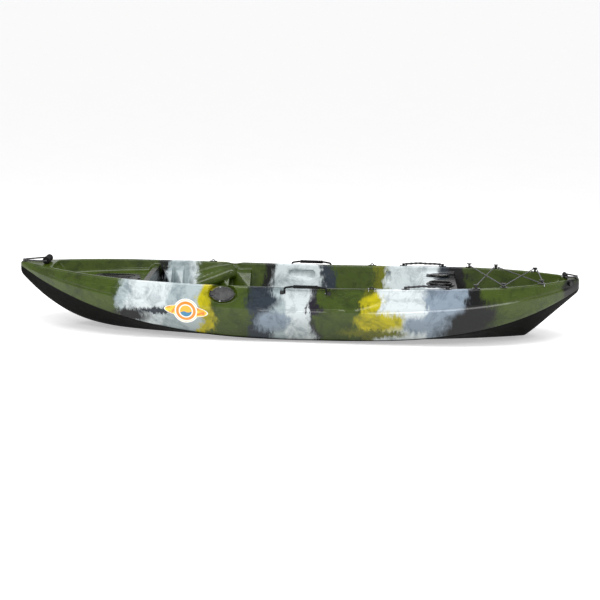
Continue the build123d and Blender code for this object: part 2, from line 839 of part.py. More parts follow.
def carry_handle(name, saddle_x, grip_x, grip_radius, grip_half):
    deck = rim_height(saddle_x) - plate_sink
    saddle = Pos(saddle_x, 0, deck + saddle_plate[2] / 2) * Box(*saddle_plate)
    saddle += Pos(saddle_x, 0, deck + saddle_block[2] / 2) * Box(*saddle_block)
    eye_z = deck + strap_height
    saddle -= Pos(saddle_x, 0, eye_z) * (Rot(90, 0, 0) * Cylinder(strap_radius + running_fit, 60))
    for way in (-1, 1):
        place = Pos(saddle_x, way * (saddle_plate[1] / 2 - 7), deck + saddle_plate[2])
        saddle -= screw_cut(place)
        fitting_screws.append(screw(place))
    grip_deck = max(rim_height(grip_x - grip_radius), rim_height(grip_x + grip_radius))
    grip_z = grip_deck + grip_radius + rest_gap
    far = grip_half + 18
    near = saddle_block[1] / 2 + 6
    points = [
        (grip_x, -(grip_half - 20), grip_z),
        (grip_x, -far, grip_z),
        (saddle_x, -near, eye_z),
        (saddle_x, near, eye_z),
        (grip_x, far, grip_z),
        (grip_x, grip_half - 20, grip_z),
    ]
    bends = [strap_end_bend, strap_saddle_bend, strap_saddle_bend, strap_end_bend]
    grip = Pos(grip_x, 0, grip_z) * (Rot(90, 0, 0) * Cylinder(grip_radius, 2 * grip_half))
    grip = chamfer(grip.edges().filter_by(GeomType.CIRCLE), 2.5)
    strap_hole = Rot(90, 0, 0) * Cylinder(strap_radius + running_fit, 2 * grip_half + 20)
    grip -= Pos(grip_x, 0, grip_z) * strap_hole
    parts[name + "_handle_saddle"] = clear_of_hull(saddle)
    parts[name + "_handle_strap"] = cord_solid(points, bends, strap_radius)
    parts[name + "_handle_grip"] = grip


bow_saddle_x = bow_saddle_to_tip - half_length
stern_saddle_x = half_length - stern_saddle_to_tip
bow_grip_x = bow_saddle_x + bow_grip_to_saddle
stern_grip_x = stern_saddle_x - stern_grip_to_saddle
carry_handle("bow", bow_saddle_x, bow_grip_x, bow_grip_radius, bow_grip_half)
carry_handle("stern", stern_saddle_x, stern_grip_x, stern_grip_radius, stern_grip_half)


# side carry handles: two mounts, two pins, a bail and a grip on each side

handle_mounts = []
handle_pins = []
side_handle_y = shoulder_half(side_handle_x, side_handle_z) + side_handle_stand_off
for side_name, side in sides.items():
    y = side * side_handle_y
    for way in (-1, 1):
        block_x = side_handle_x + way * (side_handle_half + mount_size[0] / 2 + 5)
        block = Pos(block_x, y - side * 6, side_handle_z) * Box(mount_size[0], 26, mount_size[1])
        pin_x = (block_x + side_handle_x + way * side_handle_half) / 2
        pin_length = mount_size[0] / 2 + 19
        pin = Pos(pin_x, y, side_handle_z) * (Rot(0, 90, 0) * Cylinder(handle_pin, pin_length))
        handle_pins.append(pin)
        handle_mounts.append(clear_of_hull(block) - pin)
    left = side_handle_x - side_handle_half
    right = side_handle_x + side_handle_half
    top = side_handle_z + side_handle_rise
    points = [
        (left, y, side_handle_z + 4),
        (left, y, top - 6),
        (left + 36, y, top),
        (right - 36, y, top),
        (right, y, top - 6),
        (right, y, side_handle_z + 4),
    ]
    bail = cord_solid(points, [9, 40, 40, 9], bail_radius)
    for x in (left, right):
        bail += Pos(x, y, side_handle_z) * (Rot(0, 90, 0) * Cylinder(7, 9.4))
        bail -= Pos(x, y, side_handle_z) * (Rot(0, 90, 0) * Cylinder(handle_pin + running_fit, 14))
    grip = Pos(side_handle_x, y, top) * (Rot(0, 90, 0) * Cylinder(side_grip_radius, 2 * side_grip_half))
    grip = chamfer(grip.edges().filter_by(GeomType.CIRCLE), 2)
    bail_hole = Rot(0, 90, 0) * Cylinder(bail_radius + running_fit, 3 * side_grip_half)
    grip -= Pos(side_handle_x, y, top) * bail_hole
    parts["side_handle_bail_" + side_name] = bail
    parts["side_handle_grip_" + side_name] = grip
parts["side_handle_mounts"] = Compound(children=handle_mounts)
parts["side_handle_pins"] = Compound(children=handle_pins)


# deck fittings on the rim

def rim_place(x, side):
    return Pos(x, side * rim_middle(x), rim_height(x) - plate_sink)


def plate_with_screws(place, size, spots):
    plate = Pos(0, 0, size[2] / 2) * Box(*size)
    for x in spots:
        spot = Pos(x, 0, size[2])
        plate -= screw_cut(spot)
        fitting_screws.append(place * screw(spot))
    return plate


def deck_eye(place):
    eye = plate_with_screws(place, eye_plate, (-15.5, 15.5))
    hoop = Pos(0, 0, eye_plate[2]) * (Rot(90, 0, 0) * Torus(eye_hoop, eye_rod))
    above = Pos(0, 0, 25 + eye_plate[2] - 1) * Box(60, 60, 50)
    return clear_of_hull(place * (eye + (hoop & above)))


def bungee_hook(place):
    hook = plate_with_screws(place, hook_plate, (-15.0, 15.0))
    post_middle = hook_plate[2] + hook_post_height / 2 - 1
    hook += Pos(0, 0, post_middle) * Cylinder(hook_post, hook_post_height)
    cap = extrude(RectangleRounded(hook_cap[0], hook_cap[1], 8), hook_cap[2])
    hook += Pos(0, 0, hook_plate[2] + hook_post_height - 2) * cap
    return clear_of_hull(place * hook)


parts["seat_eyes"] = Compound(children=[deck_eye(rim_place(seat_eye_x, s)) for s in sides.values()])
parts["lanyard_eye"] = deck_eye(rim_place(lanyard_eye_x, 1))
hooks = []
for x in hook_x:
    for side in sides.values():
        hooks.append(bungee_hook(rim_place(x, side)))
parts["tank_hooks"] = Compound(children=hooks)


def tangent_corners(centres, radius):
    # corners of a line that passes outside each post at the given radius
    corners = [Vector(*c) for c in centres]
    for _ in range(40):
        moved = [corners[0]]
        for i in range(1, len(centres) - 1):
            centre = Vector(*centres[i])
            back = (corners[i - 1] - corners[i]).normalized()
            ahead = (corners[i + 1] - corners[i]).normalized()
            inward = (back + ahead).normalized()
            half_angle = radians(back.get_angle(ahead)) / 2
            moved.append(centre - inward * (radius / sin(half_angle)))
        moved.append(corners[-1])
        corners = moved
    return corners


def hook_spot(index, side):
    x = hook_x[index]
    return (x, side * rim_middle(x))


bungee_turn = hook_post + bungee_radius + 0.4
route = [
    (hook_x[0] - 4, -(rim_middle(hook_x[0]) - hook_post - bungee_radius - 1.5)),
    hook_spot(1, 1),
    hook_spot(2, -1),
    hook_spot(2, 1),
    hook_spot(1, -1),
    (hook_x[0] - 4, rim_middle(hook_x[0]) - hook_post - bungee_radius - 1.5),
]
bungee_lift = 2 * bungee_radius + 0.4
lifts = [0.0, 0.0, 0.0, bungee_lift, bungee_lift, bungee_lift]
heights = [rim_height(spot[0]) + bungee_low + lift for spot, lift in zip(route, lifts)]
flat_corners = tangent_corners([(x, y, 0) for x, y in route], bungee_turn)
bungee_points = [(c.X, c.Y, z) for c, z in zip(flat_corners, heights)]
parts["tank_bungee"] = cord_solid(bungee_points, [bungee_turn] * 4, bungee_radius)

keeper_posts = []
for side_name, side in sides.items():
    for x in (keeper_front, keeper_back):
        place = rim_place(x, side)
        post = plate_with_screws(place, hook_plate, (-15.0, 15.0))
        post += Pos(0, 0, keeper_post_height / 2) * Cylinder(keeper_post, keeper_post_height)
        keeper_posts.append(clear_of_hull(place * post))
    front_x = keeper_front + keeper_post + keeper_gap
    back_x = keeper_back - keeper_post - keeper_gap
    span = back_x - front_x
    points = []
    for along, out, up in keeper_shape:
        x = front_x + along * span
        points.append((x, side * (rim_middle(x) + out), rim_height(x) + keeper_low + up))
    parts["keeper_cord_" + side_name] = cord_solid(points, [60, 60, 60, 60], keeper_radius)
parts["keeper_posts"] = Compound(children=keeper_posts)
parts["fitting_screws"] = Compound(children=fitting_screws)


# buoyancy foam between the bottom and the well floors

def foam_block(size, top):
    front, back, half_width = size
    low = max(keel_height(front), keel_height(back)) + wall + foam_gap
    high = top - wall - foam_gap
    middle = ((front + back) / 2, 0, (low + high) / 2)
    return Pos(*middle) * Box(back - front, 2 * half_width, high - low)


parts["stern_foam_block"] = foam_block(stern_foam, tank_floor)
parts["footwell_foam_block"] = foam_block(footwell_foam, footwell_floor)

for node, shape in parts.items():
    export_step(shape, f"parts/{node}.step")
print(len(parts), "nodes")
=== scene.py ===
import json
import math

import bpy
import numpy as np
from mathutils import Matrix, Vector


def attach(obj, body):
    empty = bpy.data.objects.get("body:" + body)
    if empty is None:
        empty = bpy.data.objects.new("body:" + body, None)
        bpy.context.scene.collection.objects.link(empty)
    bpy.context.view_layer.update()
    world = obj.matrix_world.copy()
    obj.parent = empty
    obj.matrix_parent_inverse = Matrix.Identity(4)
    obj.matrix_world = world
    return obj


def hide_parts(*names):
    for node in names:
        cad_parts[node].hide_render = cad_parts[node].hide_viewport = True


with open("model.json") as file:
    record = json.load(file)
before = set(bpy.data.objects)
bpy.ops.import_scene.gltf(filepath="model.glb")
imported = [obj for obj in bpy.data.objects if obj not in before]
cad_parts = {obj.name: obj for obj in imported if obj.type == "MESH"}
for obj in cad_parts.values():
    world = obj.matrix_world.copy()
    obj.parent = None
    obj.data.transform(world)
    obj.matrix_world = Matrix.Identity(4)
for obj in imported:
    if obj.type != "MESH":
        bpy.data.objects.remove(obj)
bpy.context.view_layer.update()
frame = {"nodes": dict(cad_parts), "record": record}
nodes = frame["nodes"]
print("frame loaded:", len(nodes), "nodes")


# hull lines, the same as the CAD's, in metres: x runs bow to stern, y to starboard, z up
hullLines = {
    "halfLength": 1.475,
    "halfBeam": 0.390,
    "tumblehome": 0.022,  # how far the rim stands in from the beam
    "rimWidth": 0.026,
    "wellDraft": 0.25,  # inward slope of the well walls
    "straightKeel": 0.35,
    "keelTip": 0.268,
    # each of the next holds the bow first and then the stern
    "breadth": [(0.018, 4, 1.19), (0.020, 5, 1.12)],  # half-breadth of the tip and the two powers
    "keel": [(0.226, 0.71, 3.2, 0.042), (0.213, 0.285, 1.1, 0.034)],  # rise, its run, its power and the rocker
    # height amidships, then the rise to each tip and its power
    "chine": [0.012, (0.288, 2.33), (0.244, 3)],
    "crease": [0.168, (0.148, 2.3), (0.117, 2.1)],
    "rim": [0.288, (0.040, 2.2), (0.028, 1.6)],
}
half = hullLines["halfLength"]
bothSides = (("port", -1), ("starboard", 1))


def toTip(x, run):
    # 1 at the nearer tip and 0 at run metres from it
    return np.maximum(0, 1 - (half - np.abs(x)) / run)


def halfBreadth(x):
    # tip + (beam - tip) (1 - u^a)^b, with u the share of the way to the tip
    u = np.minimum(1, np.abs(x) / half)
    bow, stern = (tip + (hullLines["halfBeam"] - tip) * np.maximum(0, 1 - u**a) ** b
                  for tip, a, b in hullLines["breadth"])
    return np.where(x < 0, bow, stern)


def keelZ(x):
    # rise t^power plus the rocker, which starts where the straight keel ends and grows as its distance^1.5
    straight = hullLines["straightKeel"]
    rocker = (np.maximum(0, np.abs(x) - straight) / (half - straight)) ** 1.5
    bow, stern = (high * toTip(x, run) ** power + lift * rocker
                  for high, run, power, lift in hullLines["keel"])
    return np.where(x < 0, bow, stern)


def lineZ(name, x):
    # height amidships plus rise t^power, with t from 0 amidships to 1 at the tip
    middle, (bowRise, bowPower), (sternRise, sternPower) = hullLines[name]
    t = toTip(x, half)
    return middle + np.where(x < 0, bowRise * t**bowPower, sternRise * t**sternPower)


def chineZ(x):
    return lineZ("chine", x)


def creaseZ(x):
    return lineZ("crease", x)


def rimZ(x):
    return lineZ("rim", x)


def rimOuter(x):
    return halfBreadth(x) * (1 - hullLines["tumblehome"] / hullLines["halfBeam"])


def rimInner(x):
    return rimOuter(x) - hullLines["rimWidth"]


def rimMiddle(x):
    return rimOuter(x) - hullLines["rimWidth"] / 2


def smooth(t):
    # 3 t^2 - 2 t^3 between 0 and 1, flat outside
    t = np.clip(t, 0, 1)
    return t * t * (3 - 2 * t)


def rise(value, edge, width):
    # smooth step from 0 to 1 that is half way at the edge and takes width to climb
    return smooth((value - edge) / width + 0.5)


# camera and light

view = {
    "turn": 0.0432,  # radians, as the next two
    "height": 0.1921,
    "roll": 0.0193,
    "distance": 8.76,
    "lens": 99.3,
    "target": (0.0, 0.0, 0.16),
    "across": 0.0117,  # metres that the aim stands off the target
    "down": 0.0040,
}


def placeCamera():
    turn, height, roll = view["turn"], view["height"], view["roll"]
    right = Vector((math.cos(turn), math.sin(turn), 0))
    ahead = Vector((-math.sin(turn) * math.cos(height), math.cos(turn) * math.cos(height), -math.sin(height)))
    up = right.cross(ahead)
    across = right * math.cos(roll) + up * math.sin(roll)
    upright = up * math.cos(roll) - right * math.sin(roll)
    aim = Vector(view["target"]) + across * view["across"] - upright * view["down"]
    data = bpy.data.cameras.new("mainView")
    data.lens = view["lens"]
    data.sensor_width = 36
    data.clip_end = 1000
    camera = bpy.data.objects.new("mainView", data)
    bpy.context.scene.collection.objects.link(camera)
    turned = Matrix((across, upright, -ahead)).transposed().to_4x4()
    turned.translation = aim - ahead * view["distance"]
    camera.matrix_world = turned
    bpy.context.scene.camera = camera


lamps = {
    # where it hangs, its width and depth in metres, and its watts
    "topBox": ((0.2, -0.9, 3.2), (4.6, 0.9), 85),
    "frontBox": ((-0.8, -4.6, 3.4), (5.0, 0.5), 60),
    "backBox": ((0.4, 3.6, 2.8), (5.0, 0.7), 45),
}


def softbox(name, spot, size, power):
    # a rectangular lamp that faces the middle of the hull
    data = bpy.data.lights.new(name, "AREA")
    data.shape = "RECTANGLE"
    data.size, data.size_y = size
    data.energy = power
    lamp = bpy.data.objects.new(name, data)
    bpy.context.scene.collection.objects.link(lamp)
    lamp.location = spot
    lamp.rotation_euler = (Vector((0, 0, 0.2)) - Vector(spot)).to_track_quat("-Z", "Y").to_euler()


placeCamera()
for name, lamp in lamps.items():
    softbox(name, *lamp)
world = bpy.data.worlds.new("paleStudio")
bpy.context.scene.world = world
world.use_nodes = True
backdrop = world.node_tree.nodes["Background"]
backdrop.inputs["Color"].default_value = (1, 1, 1, 1)
backdrop.inputs["Strength"].default_value = 0.58
bpy.context.scene.view_settings.view_transform = "Standard"
print("camera and lights placed")


# materials

def toLinear(hexColour):
    # sRGB hex value as linear red, green, blue and alpha
    channels = [int(hexColour[i:i + 2], 16) / 255 for i in (1, 3, 5)]
    return [c / 12.92 if c <= 0.04045 else ((c + 0.055) / 1.055) ** 2.4 for c in channels] + [1.0]


def newMaterial(name):
    material = bpy.data.materials.new(name)
    material.use_nodes = True
    material.node_tree.nodes.clear()
    return material


def addNode(material, kind, settings=None, links=None):
    # a node with its properties set; a link is (node, output), anything else is a socket's value
    node = material.node_tree.nodes.new("ShaderNode" + kind)
    for key, value in (settings or {}).items():
        setattr(node, key, value)
    for key, value in (links or {}).items():
        if isinstance(value, tuple) and isinstance(value[0], bpy.types.Node):
            material.node_tree.links.new(value[0].outputs[value[1]], node.inputs[key])
        else:
            node.inputs[key].default_value = value
    return node


def fillRamp(node, stops):
    # stops are (position, hex colour or grey value), in order
    ramp = node.color_ramp
    while len(ramp.elements) > len(stops):
        ramp.elements.remove(ramp.elements[-1])
    while len(ramp.elements) < len(stops):
        ramp.elements.new(1.0)
    for element, (position, colour) in zip(ramp.elements, stops):
        element.position = position
        element.color = toLinear(colour) if isinstance(colour, str) else (colour, colour, colour, 1)
    return node


camo = {
    "moss": "#3f4f13",
    "olive": "#696c10",
    "white": "#d2dadc",
    "paleGrey": "#a9b6b9",
    "iceGrey": "#8795a3",
    "slate": "#2a333d",
    "charcoal": "#08090a",
    "plum": "#1f1a28",
    "yellow": "#b8ad05",
    # underside below the chine: near-black, partly the bottom's own dark colour and partly painted shade of
    # the downward-facing bottom
    "below": "#0a0b08",
    "reach": 1.6,  # the bands are given between -reach and reach
    # where each colour starts along the outside, from bow to stern
    "outer": [
        (-1.60, "moss"), (-0.915, "paleGrey"), (-0.86, "white"), (-0.66, "paleGrey"), (-0.487, "yellow"),
        (-0.420, "moss"), (-0.235, "slate"), (-0.130, "paleGrey"), (-0.050, "white"), (0.092, "plum"),
        (0.120, "moss"), (0.350, "olive"), (0.415, "white"), (0.66, "iceGrey"), (0.855, "charcoal"),
        (0.945, "moss"),
    ],
    # and along the wells
    "inner": [
        (-1.60, "moss"), (-0.795, "charcoal"), (-0.735, "paleGrey"), (-0.600, "white"), (-0.560, "moss"),
        (-0.215, "charcoal"), (-0.145, "white"), (0.115, "slate"), (0.175, "moss"), (0.400, "olive"),
        (0.455, "white"), (0.735, "slate"), (0.800, "charcoal"), (0.905, "moss"),
    ],
    "feather": 0.012,
    # patches on the outside: middle x, z, half length, half height, lean, colour
    "patches": [
        (-0.835, 0.118, 0.105, 0.034, -0.25, "charcoal"),
        (-0.700, 0.150, 0.085, 0.016, 0.30, "slate"),
        (-0.120, 0.110, 0.080, 0.050, 0.00, "iceGrey"),
        (-0.160, 0.225, 0.085, 0.035, 0.00, "slate"),
        (0.105, 0.190, 0.022, 0.045, 0.10, "plum"),
        (0.390, 0.215, 0.045, 0.050, 0.30, "yellow"),
        (0.430, 0.120, 0.110, 0.056, 0.10, "yellow"),
        (0.400, 0.060, 0.150, 0.022, 0.00, "olive"),
        (0.620, 0.110, 0.075, 0.045, 0.00, "iceGrey"),
        (0.890, 0.125, 0.120, 0.100, 0.75, "charcoal"),
        (1.040, 0.060, 0.280, 0.036, 0.00, "charcoal"),
        (1.450, 0.240, 0.045, 0.120, 0.00, "charcoal"),
    ],
}


def bandRamp(material, bands, share):
    # colour bands from share, which goes from 0 to 1 between -reach and reach
    reach, feather = camo["reach"], camo["feather"]
    stops = []
    for i, (start, colour) in enumerate(bands):
        if i:
            stops.append(((start - feather + reach) / (2 * reach), camo[bands[i - 1][1]]))
        stops.append(((start + feather + reach) / (2 * reach), camo[colour]))
    return fillRamp(addNode(material, "ValToRGB", {}, {"Fac": share}), stops)


def camouflagedPolyethylene():
    # rotationally moulded HDPE, powder of several colours dropped in bands: glossy, slightly wavy skin,
    # feathered colour edges, streaked clouds in each colour, fine scuffs that dull the gloss
    material = newMaterial("camouflagedPolyethylene")
    place = addNode(material, "TexCoord")
    axes = addNode(material, "SeparateXYZ", {}, {"Vector": (place, "Object")})
    swirl = addNode(material, "TexNoise", {}, {"Vector": (place, "Object"), "Scale": 6.0, "Detail": 3.0,
                                              "Roughness": 0.5, "Distortion": 0.8})
    streakPlace = addNode(material, "Mapping", {}, {"Vector": (place, "Object"), "Scale": (60, 60, 12)})
    streak = addNode(material, "TexNoise", {}, {"Vector": (streakPlace, "Vector"), "Scale": 1.0, "Detail": 6.0,
                                               "Roughness": 0.7})
    swirlShift = addNode(material, "Math", {"operation": "MULTIPLY_ADD"},
                         {0: (swirl, "Fac"), 1: 0.16, 2: -0.08})
    streakShift = addNode(material, "Math", {"operation": "MULTIPLY_ADD"},
                          {0: (streak, "Fac"), 1: 0.10, 2: -0.05})
    shift = addNode(material, "Math", {"operation": "ADD"}, {0: (swirlShift, 0), 1: (streakShift, 0)})
    along = addNode(material, "Math", {"operation": "ADD"}, {0: (axes, "X"), 1: (shift, 0)})
    share = addNode(material, "MapRange", {}, {"Value": (along, 0), "From Min": -camo["reach"],
                                              "From Max": camo["reach"]})
    outer = bandRamp(material, camo["outer"], (share, 0))
    inner = bandRamp(material, camo["inner"], (share, 0))
    outside = addNode(material, "Attribute", {"attribute_name": "outside"})
    below = addNode(material, "Attribute", {"attribute_name": "underside"})
    colour = (addNode(material, "Mix", {"data_type": "RGBA"},
                      {0: (outside, "Fac"), 6: (inner, "Color"), 7: (outer, "Color")}), 2)
    for x, z, longHalf, highHalf, lean, patchColour in camo["patches"]:
        dx = addNode(material, "Math", {"operation": "SUBTRACT"}, {0: (along, 0), 1: x})
        dz = addNode(material, "Math", {"operation": "SUBTRACT"}, {0: (axes, "Z"), 1: z})
        leaned = addNode(material, "Math", {"operation": "MULTIPLY_ADD"}, {0: (dz, 0), 1: -lean, 2: (dx, 0)})
        wide = addNode(material, "Math", {"operation": "DIVIDE"}, {0: (leaned, 0), 1: longHalf})
        ragged = addNode(material, "Math", {"operation": "MULTIPLY_ADD"},
                         {0: (streakShift, 0), 1: 0.9, 2: (dz, 0)})
        high = addNode(material, "Math", {"operation": "DIVIDE"}, {0: (ragged, 0), 1: highHalf})
        flat = addNode(material, "CombineXYZ", {}, {"X": (wide, 0), "Y": (high, 0)})
        reach = addNode(material, "VectorMath", {"operation": "LENGTH"}, {0: (flat, 0)})
        within = addNode(material, "MapRange", {},
                         {"Value": (reach, "Value"), "From Min": 1.32, "From Max": 0.72})
        masked = addNode(material, "Math", {"operation": "MULTIPLY"}, {0: (within, 0), 1: (outside, "Fac")})
        colour = (addNode(material, "Mix", {"data_type": "RGBA"},
                          {0: (masked, 0), 6: colour, 7: toLinear(camo[patchColour])}), 2)
    cloud = addNode(material, "TexNoise", {}, {"Vector": (place, "Object"), "Scale": 11.0, "Detail": 7.0,
                                              "Roughness": 0.72, "Distortion": 0.5})
    shade = addNode(material, "MapRange", {}, {"Value": (cloud, "Fac"), "From Min": 0.47, "From Max": 0.68,
                                              "To Max": 0.75})
    colour = (addNode(material, "Mix", {"data_type": "RGBA", "blend_type": "MULTIPLY"},
                      {0: (shade, 0), 6: colour, 7: toLinear("#7f8c94")}), 2)
    # below the chine the skin turns near-black: partly the bottom's own dark colour, partly painted shade
    colour = (addNode(material, "Mix", {"data_type": "RGBA"},
                      {0: (below, "Fac"), 6: colour, 7: toLinear(camo["below"])}), 2)
    # painted shade: the outside is multiplied towards #6b6a5c, at up to 0.55, from z 0.20 down to 0.02,
    # standing in for the shade low on the sides
    low = addNode(material, "MapRange", {}, {"Value": (axes, "Z"), "From Min": 0.20, "From Max": 0.02})
    shadedLowSide = addNode(material, "Math", {"operation": "MULTIPLY"}, {0: (low, 0), 1: (outside, "Fac")})
    paintedLowShade = addNode(material, "Math", {"operation": "MULTIPLY"}, {0: (shadedLowSide, 0), 1: 0.55})
    colour = (addNode(material, "Mix", {"data_type": "RGBA", "blend_type": "MULTIPLY"},
                      {0: (paintedLowShade, 0), 6: colour, 7: toLinear("#6b6a5c")}), 2)
    scuffPlace = addNode(material, "Mapping", {}, {"Vector": (place, "Object"), "Scale": (14, 60, 60)})
    scuff = addNode(material, "TexNoise", {}, {"Vector": (scuffPlace, "Vector"), "Scale": 1.0, "Detail": 6.0,
                                              "Roughness": 0.7})
    gloss = addNode(material, "MapRange", {}, {"Value": (scuff, "Fac"), "From Min": 0.3, "From Max": 0.75,
                                              "To Min": 0.12, "To Max": 0.34})
    # peel of 6 mm, drawn coarser than the real grain so that it shows, and waves of 70 mm
    peel = addNode(material, "TexNoise", {}, {"Vector": (place, "Object"), "Scale": 160.0, "Detail": 2.0})
    wave = addNode(material, "TexNoise", {}, {"Vector": (place, "Object"), "Scale": 14.0, "Detail": 1.0})
    waved = addNode(material, "Bump", {}, {"Height": (wave, "Fac"), "Strength": 0.35, "Distance": 0.004})
    skin = addNode(material, "Bump", {}, {"Height": (peel, "Fac"), "Strength": 0.25, "Distance": 0.0004,
                                         "Normal": (waved, "Normal")})
    dulled = addNode(material, "Math", {"operation": "MULTIPLY_ADD"},
                     {0: (below, "Fac"), 1: 0.45, 2: (gloss, 0)})
    shine = addNode(material, "Math", {"operation": "MULTIPLY_ADD"}, {0: (below, "Fac"), 1: -0.30, 2: 0.36})
    shader = addNode(material, "BsdfPrincipled", {},
                     {"Base Color": colour, "Roughness": (dulled, 0), "IOR": 1.5,
                      "Specular IOR Level": (shine, 0), "Normal": (skin, "Normal")})
    addNode(material, "OutputMaterial", {}, {"Surface": (shader, "BSDF")})
    return material


finishes = {
    # base and worn colour, roughness low and high, metallic, grain in mm, bump height in mm, specular level
    # glass-filled nylon, injection moulded: near black with a tight, slightly patchy sheen
    "mouldedNylon": ("#08090a", "#151617", 0.15, 0.34, 0.0, 1.6, 0.05, 0.40),
    # thermoplastic rubber, moulded: black and matt, a little greyer where hands rub it
    "mouldedRubber": ("#070708", "#131415", 0.50, 0.72, 0.0, 1.2, 0.05, 0.18),
    # polyethylene foam, cut with a wire: chalky pale grey with open cells
    "closedCellFoam": ("#d9dad6", "#c3c4bf", 0.85, 0.95, 0.0, 3.0, 0.30, 0.3),
    # stainless steel, turned: bright grey with fine tool marks
    "turnedStainless": ("#b9bbbd", "#8e9194", 0.22, 0.42, 1.0, 0.8, 0.01, 0.5),
}


def plainFinish(name):
    # an even moulded or turned finish: slow colour drift, fine grain bump and patchy gloss
    base, worn, low, high, metal, grain, height, shine = finishes[name]
    material = newMaterial(name)
    place = addNode(material, "TexCoord")
    drift = addNode(material, "TexNoise", {}, {"Vector": (place, "Object"), "Scale": 30.0, "Detail": 5.0,
                                              "Roughness": 0.65})
    tint = fillRamp(addNode(material, "ValToRGB", {}, {"Fac": (drift, "Fac")}), [(0.42, base), (0.72, worn)])
    dull = addNode(material, "MapRange", {}, {"Value": (drift, "Fac"), "From Min": 0.3, "From Max": 0.7,
                                             "To Min": low, "To Max": high})
    fine = addNode(material, "TexNoise", {},
                   {"Vector": (place, "Object"), "Scale": 1000 / grain, "Detail": 3.0})
    bump = addNode(material, "Bump", {}, {"Height": (fine, "Fac"), "Strength": 0.6, "Distance": height / 1000})
    shader = addNode(material, "BsdfPrincipled", {}, {"Base Color": (tint, "Color"), "Roughness": (dull, 0),
                                                     "Metallic": metal, "Specular IOR Level": shine,
                                                     "Normal": (bump, "Normal")})
    addNode(material, "OutputMaterial", {}, {"Surface": (shader, "BSDF")})
    return material


def wovenPolyester(name, base, light, yarnMm):
    # polyester yarn, woven flat or braided: crossed ribs on the piece's own UV, dull with a soft sheen
    material = newMaterial(name)
    uv = addNode(material, "UVMap")
    perMetre = 1000 / yarnMm  # a wave of scale 0.32 repeats about once a unit
    scaled = addNode(material, "Mapping", {}, {"Vector": (uv, "UV"), "Scale": (perMetre, perMetre, 1),
                                              "Rotation": (0, 0, math.radians(45))})
    weft, warp = (addNode(material, "TexWave",
                          {"wave_type": "BANDS", "bands_direction": axis, "wave_profile": "SIN"},
                          {"Vector": (scaled, "Vector"), "Scale": 0.32, "Distortion": 0.6, "Detail": 1.0})
                  for axis in "XY")
    over = addNode(material, "Math", {"operation": "MAXIMUM"}, {0: (weft, "Fac"), 1: (warp, "Fac")})
    # the yarn's crests are painted lighter and the hollows between them darker: painted shade of the weave, on
    # top of its bump
    tint = fillRamp(addNode(material, "ValToRGB", {}, {"Fac": (over, 0)}), [(0.25, base), (1.0, light)])
    bump = addNode(material, "Bump", {}, {"Height": (over, 0), "Strength": 0.8, "Distance": 0.0006})
    shader = addNode(material, "BsdfPrincipled", {}, {"Base Color": (tint, "Color"), "Roughness": 0.78,
                                                     "Sheen Weight": 0.3, "Normal": (bump, "Normal")})
    addNode(material, "OutputMaterial", {}, {"Surface": (shader, "BSDF")})
    return material


hullPlastic = camouflagedPolyethylene()
nylon = plainFinish("mouldedNylon")
rubber = plainFinish("mouldedRubber")
foam = plainFinish("closedCellFoam")
steel = plainFinish("turnedStainless")
webbing = wovenPolyester("wovenWebbing", "#0c0d0e", "#2b2d30", 2.2)
sheath = wovenPolyester("braidedSheath", "#0d0e0f", "#34363a", 1.8)
print("materials made")


# grids

def gridFaces(rows, columns, closed):
    # quad (r, c), (r, c + 1), (r + 1, c + 1), (r + 1, c) for every r and c
    # closed joins the last column to the first
    r, c = np.meshgrid(np.arange(rows - 1), np.arange(columns if closed else columns - 1), indexing="ij")
    after = (c + 1) % columns
    here, below = r * columns, (r + 1) * columns
    quads = np.stack([here + c, here + after, below + after, below + c], -1)
    return quads.reshape(-1, 4)


def addMesh(name, points, faces, material, smoothShade=True, sharpAngle=None):
    # faces is a list of arrays, each with its own number of corners
    mesh = bpy.data.meshes.new(name)
    mesh.from_pydata(points.reshape(-1, 3).tolist(), [], [f for block in faces for f in block.tolist()])
    mesh.update()
    mesh.polygons.foreach_set("use_smooth", np.full(len(mesh.polygons), smoothShade))
    if sharpAngle:
        mesh.set_sharp_from_angle(angle=math.radians(sharpAngle))
    mesh.materials.append(material)
    piece = bpy.data.objects.new(name, mesh)
    bpy.context.scene.collection.objects.link(piece)
    return piece


def signedVolume(points, quads):
    # sum of a . (b x c) + a . (c x d) over the quads, positive where the faces look outwards
    a, b, c, d = (points[quads[:, i]] for i in range(4))
    return float((np.einsum("ij,ij->i", a, np.cross(b, c)) + np.einsum("ij,ij->i", a, np.cross(c, d))).sum())


def closedGrid(name, rings, material, sharpAngle=40):
    # rings: rows x columns x 3, each row a closed ring; the two ends are closed by fans
    rows, columns, _ = rings.shape
    quads = gridFaces(rows, columns, True)
    points = np.concatenate([rings.reshape(-1, 3), rings[0].mean(0)[None], rings[-1].mean(0)[None]])
    k = np.arange(columns)
    after = (k + 1) % columns
    firstCap = np.stack([np.full(columns, rows * columns), after, k], -1)
    base = (rows - 1) * columns
    lastCap = np.stack([np.full(columns, rows * columns + 1), base + k, base + after], -1)
    if signedVolume(points, quads) < 0:
        quads, firstCap, lastCap = quads[:, ::-1], firstCap[:, ::-1], lastCap[:, ::-1]
    return addMesh(name, points, [quads, firstCap, lastCap], material, True, sharpAngle)


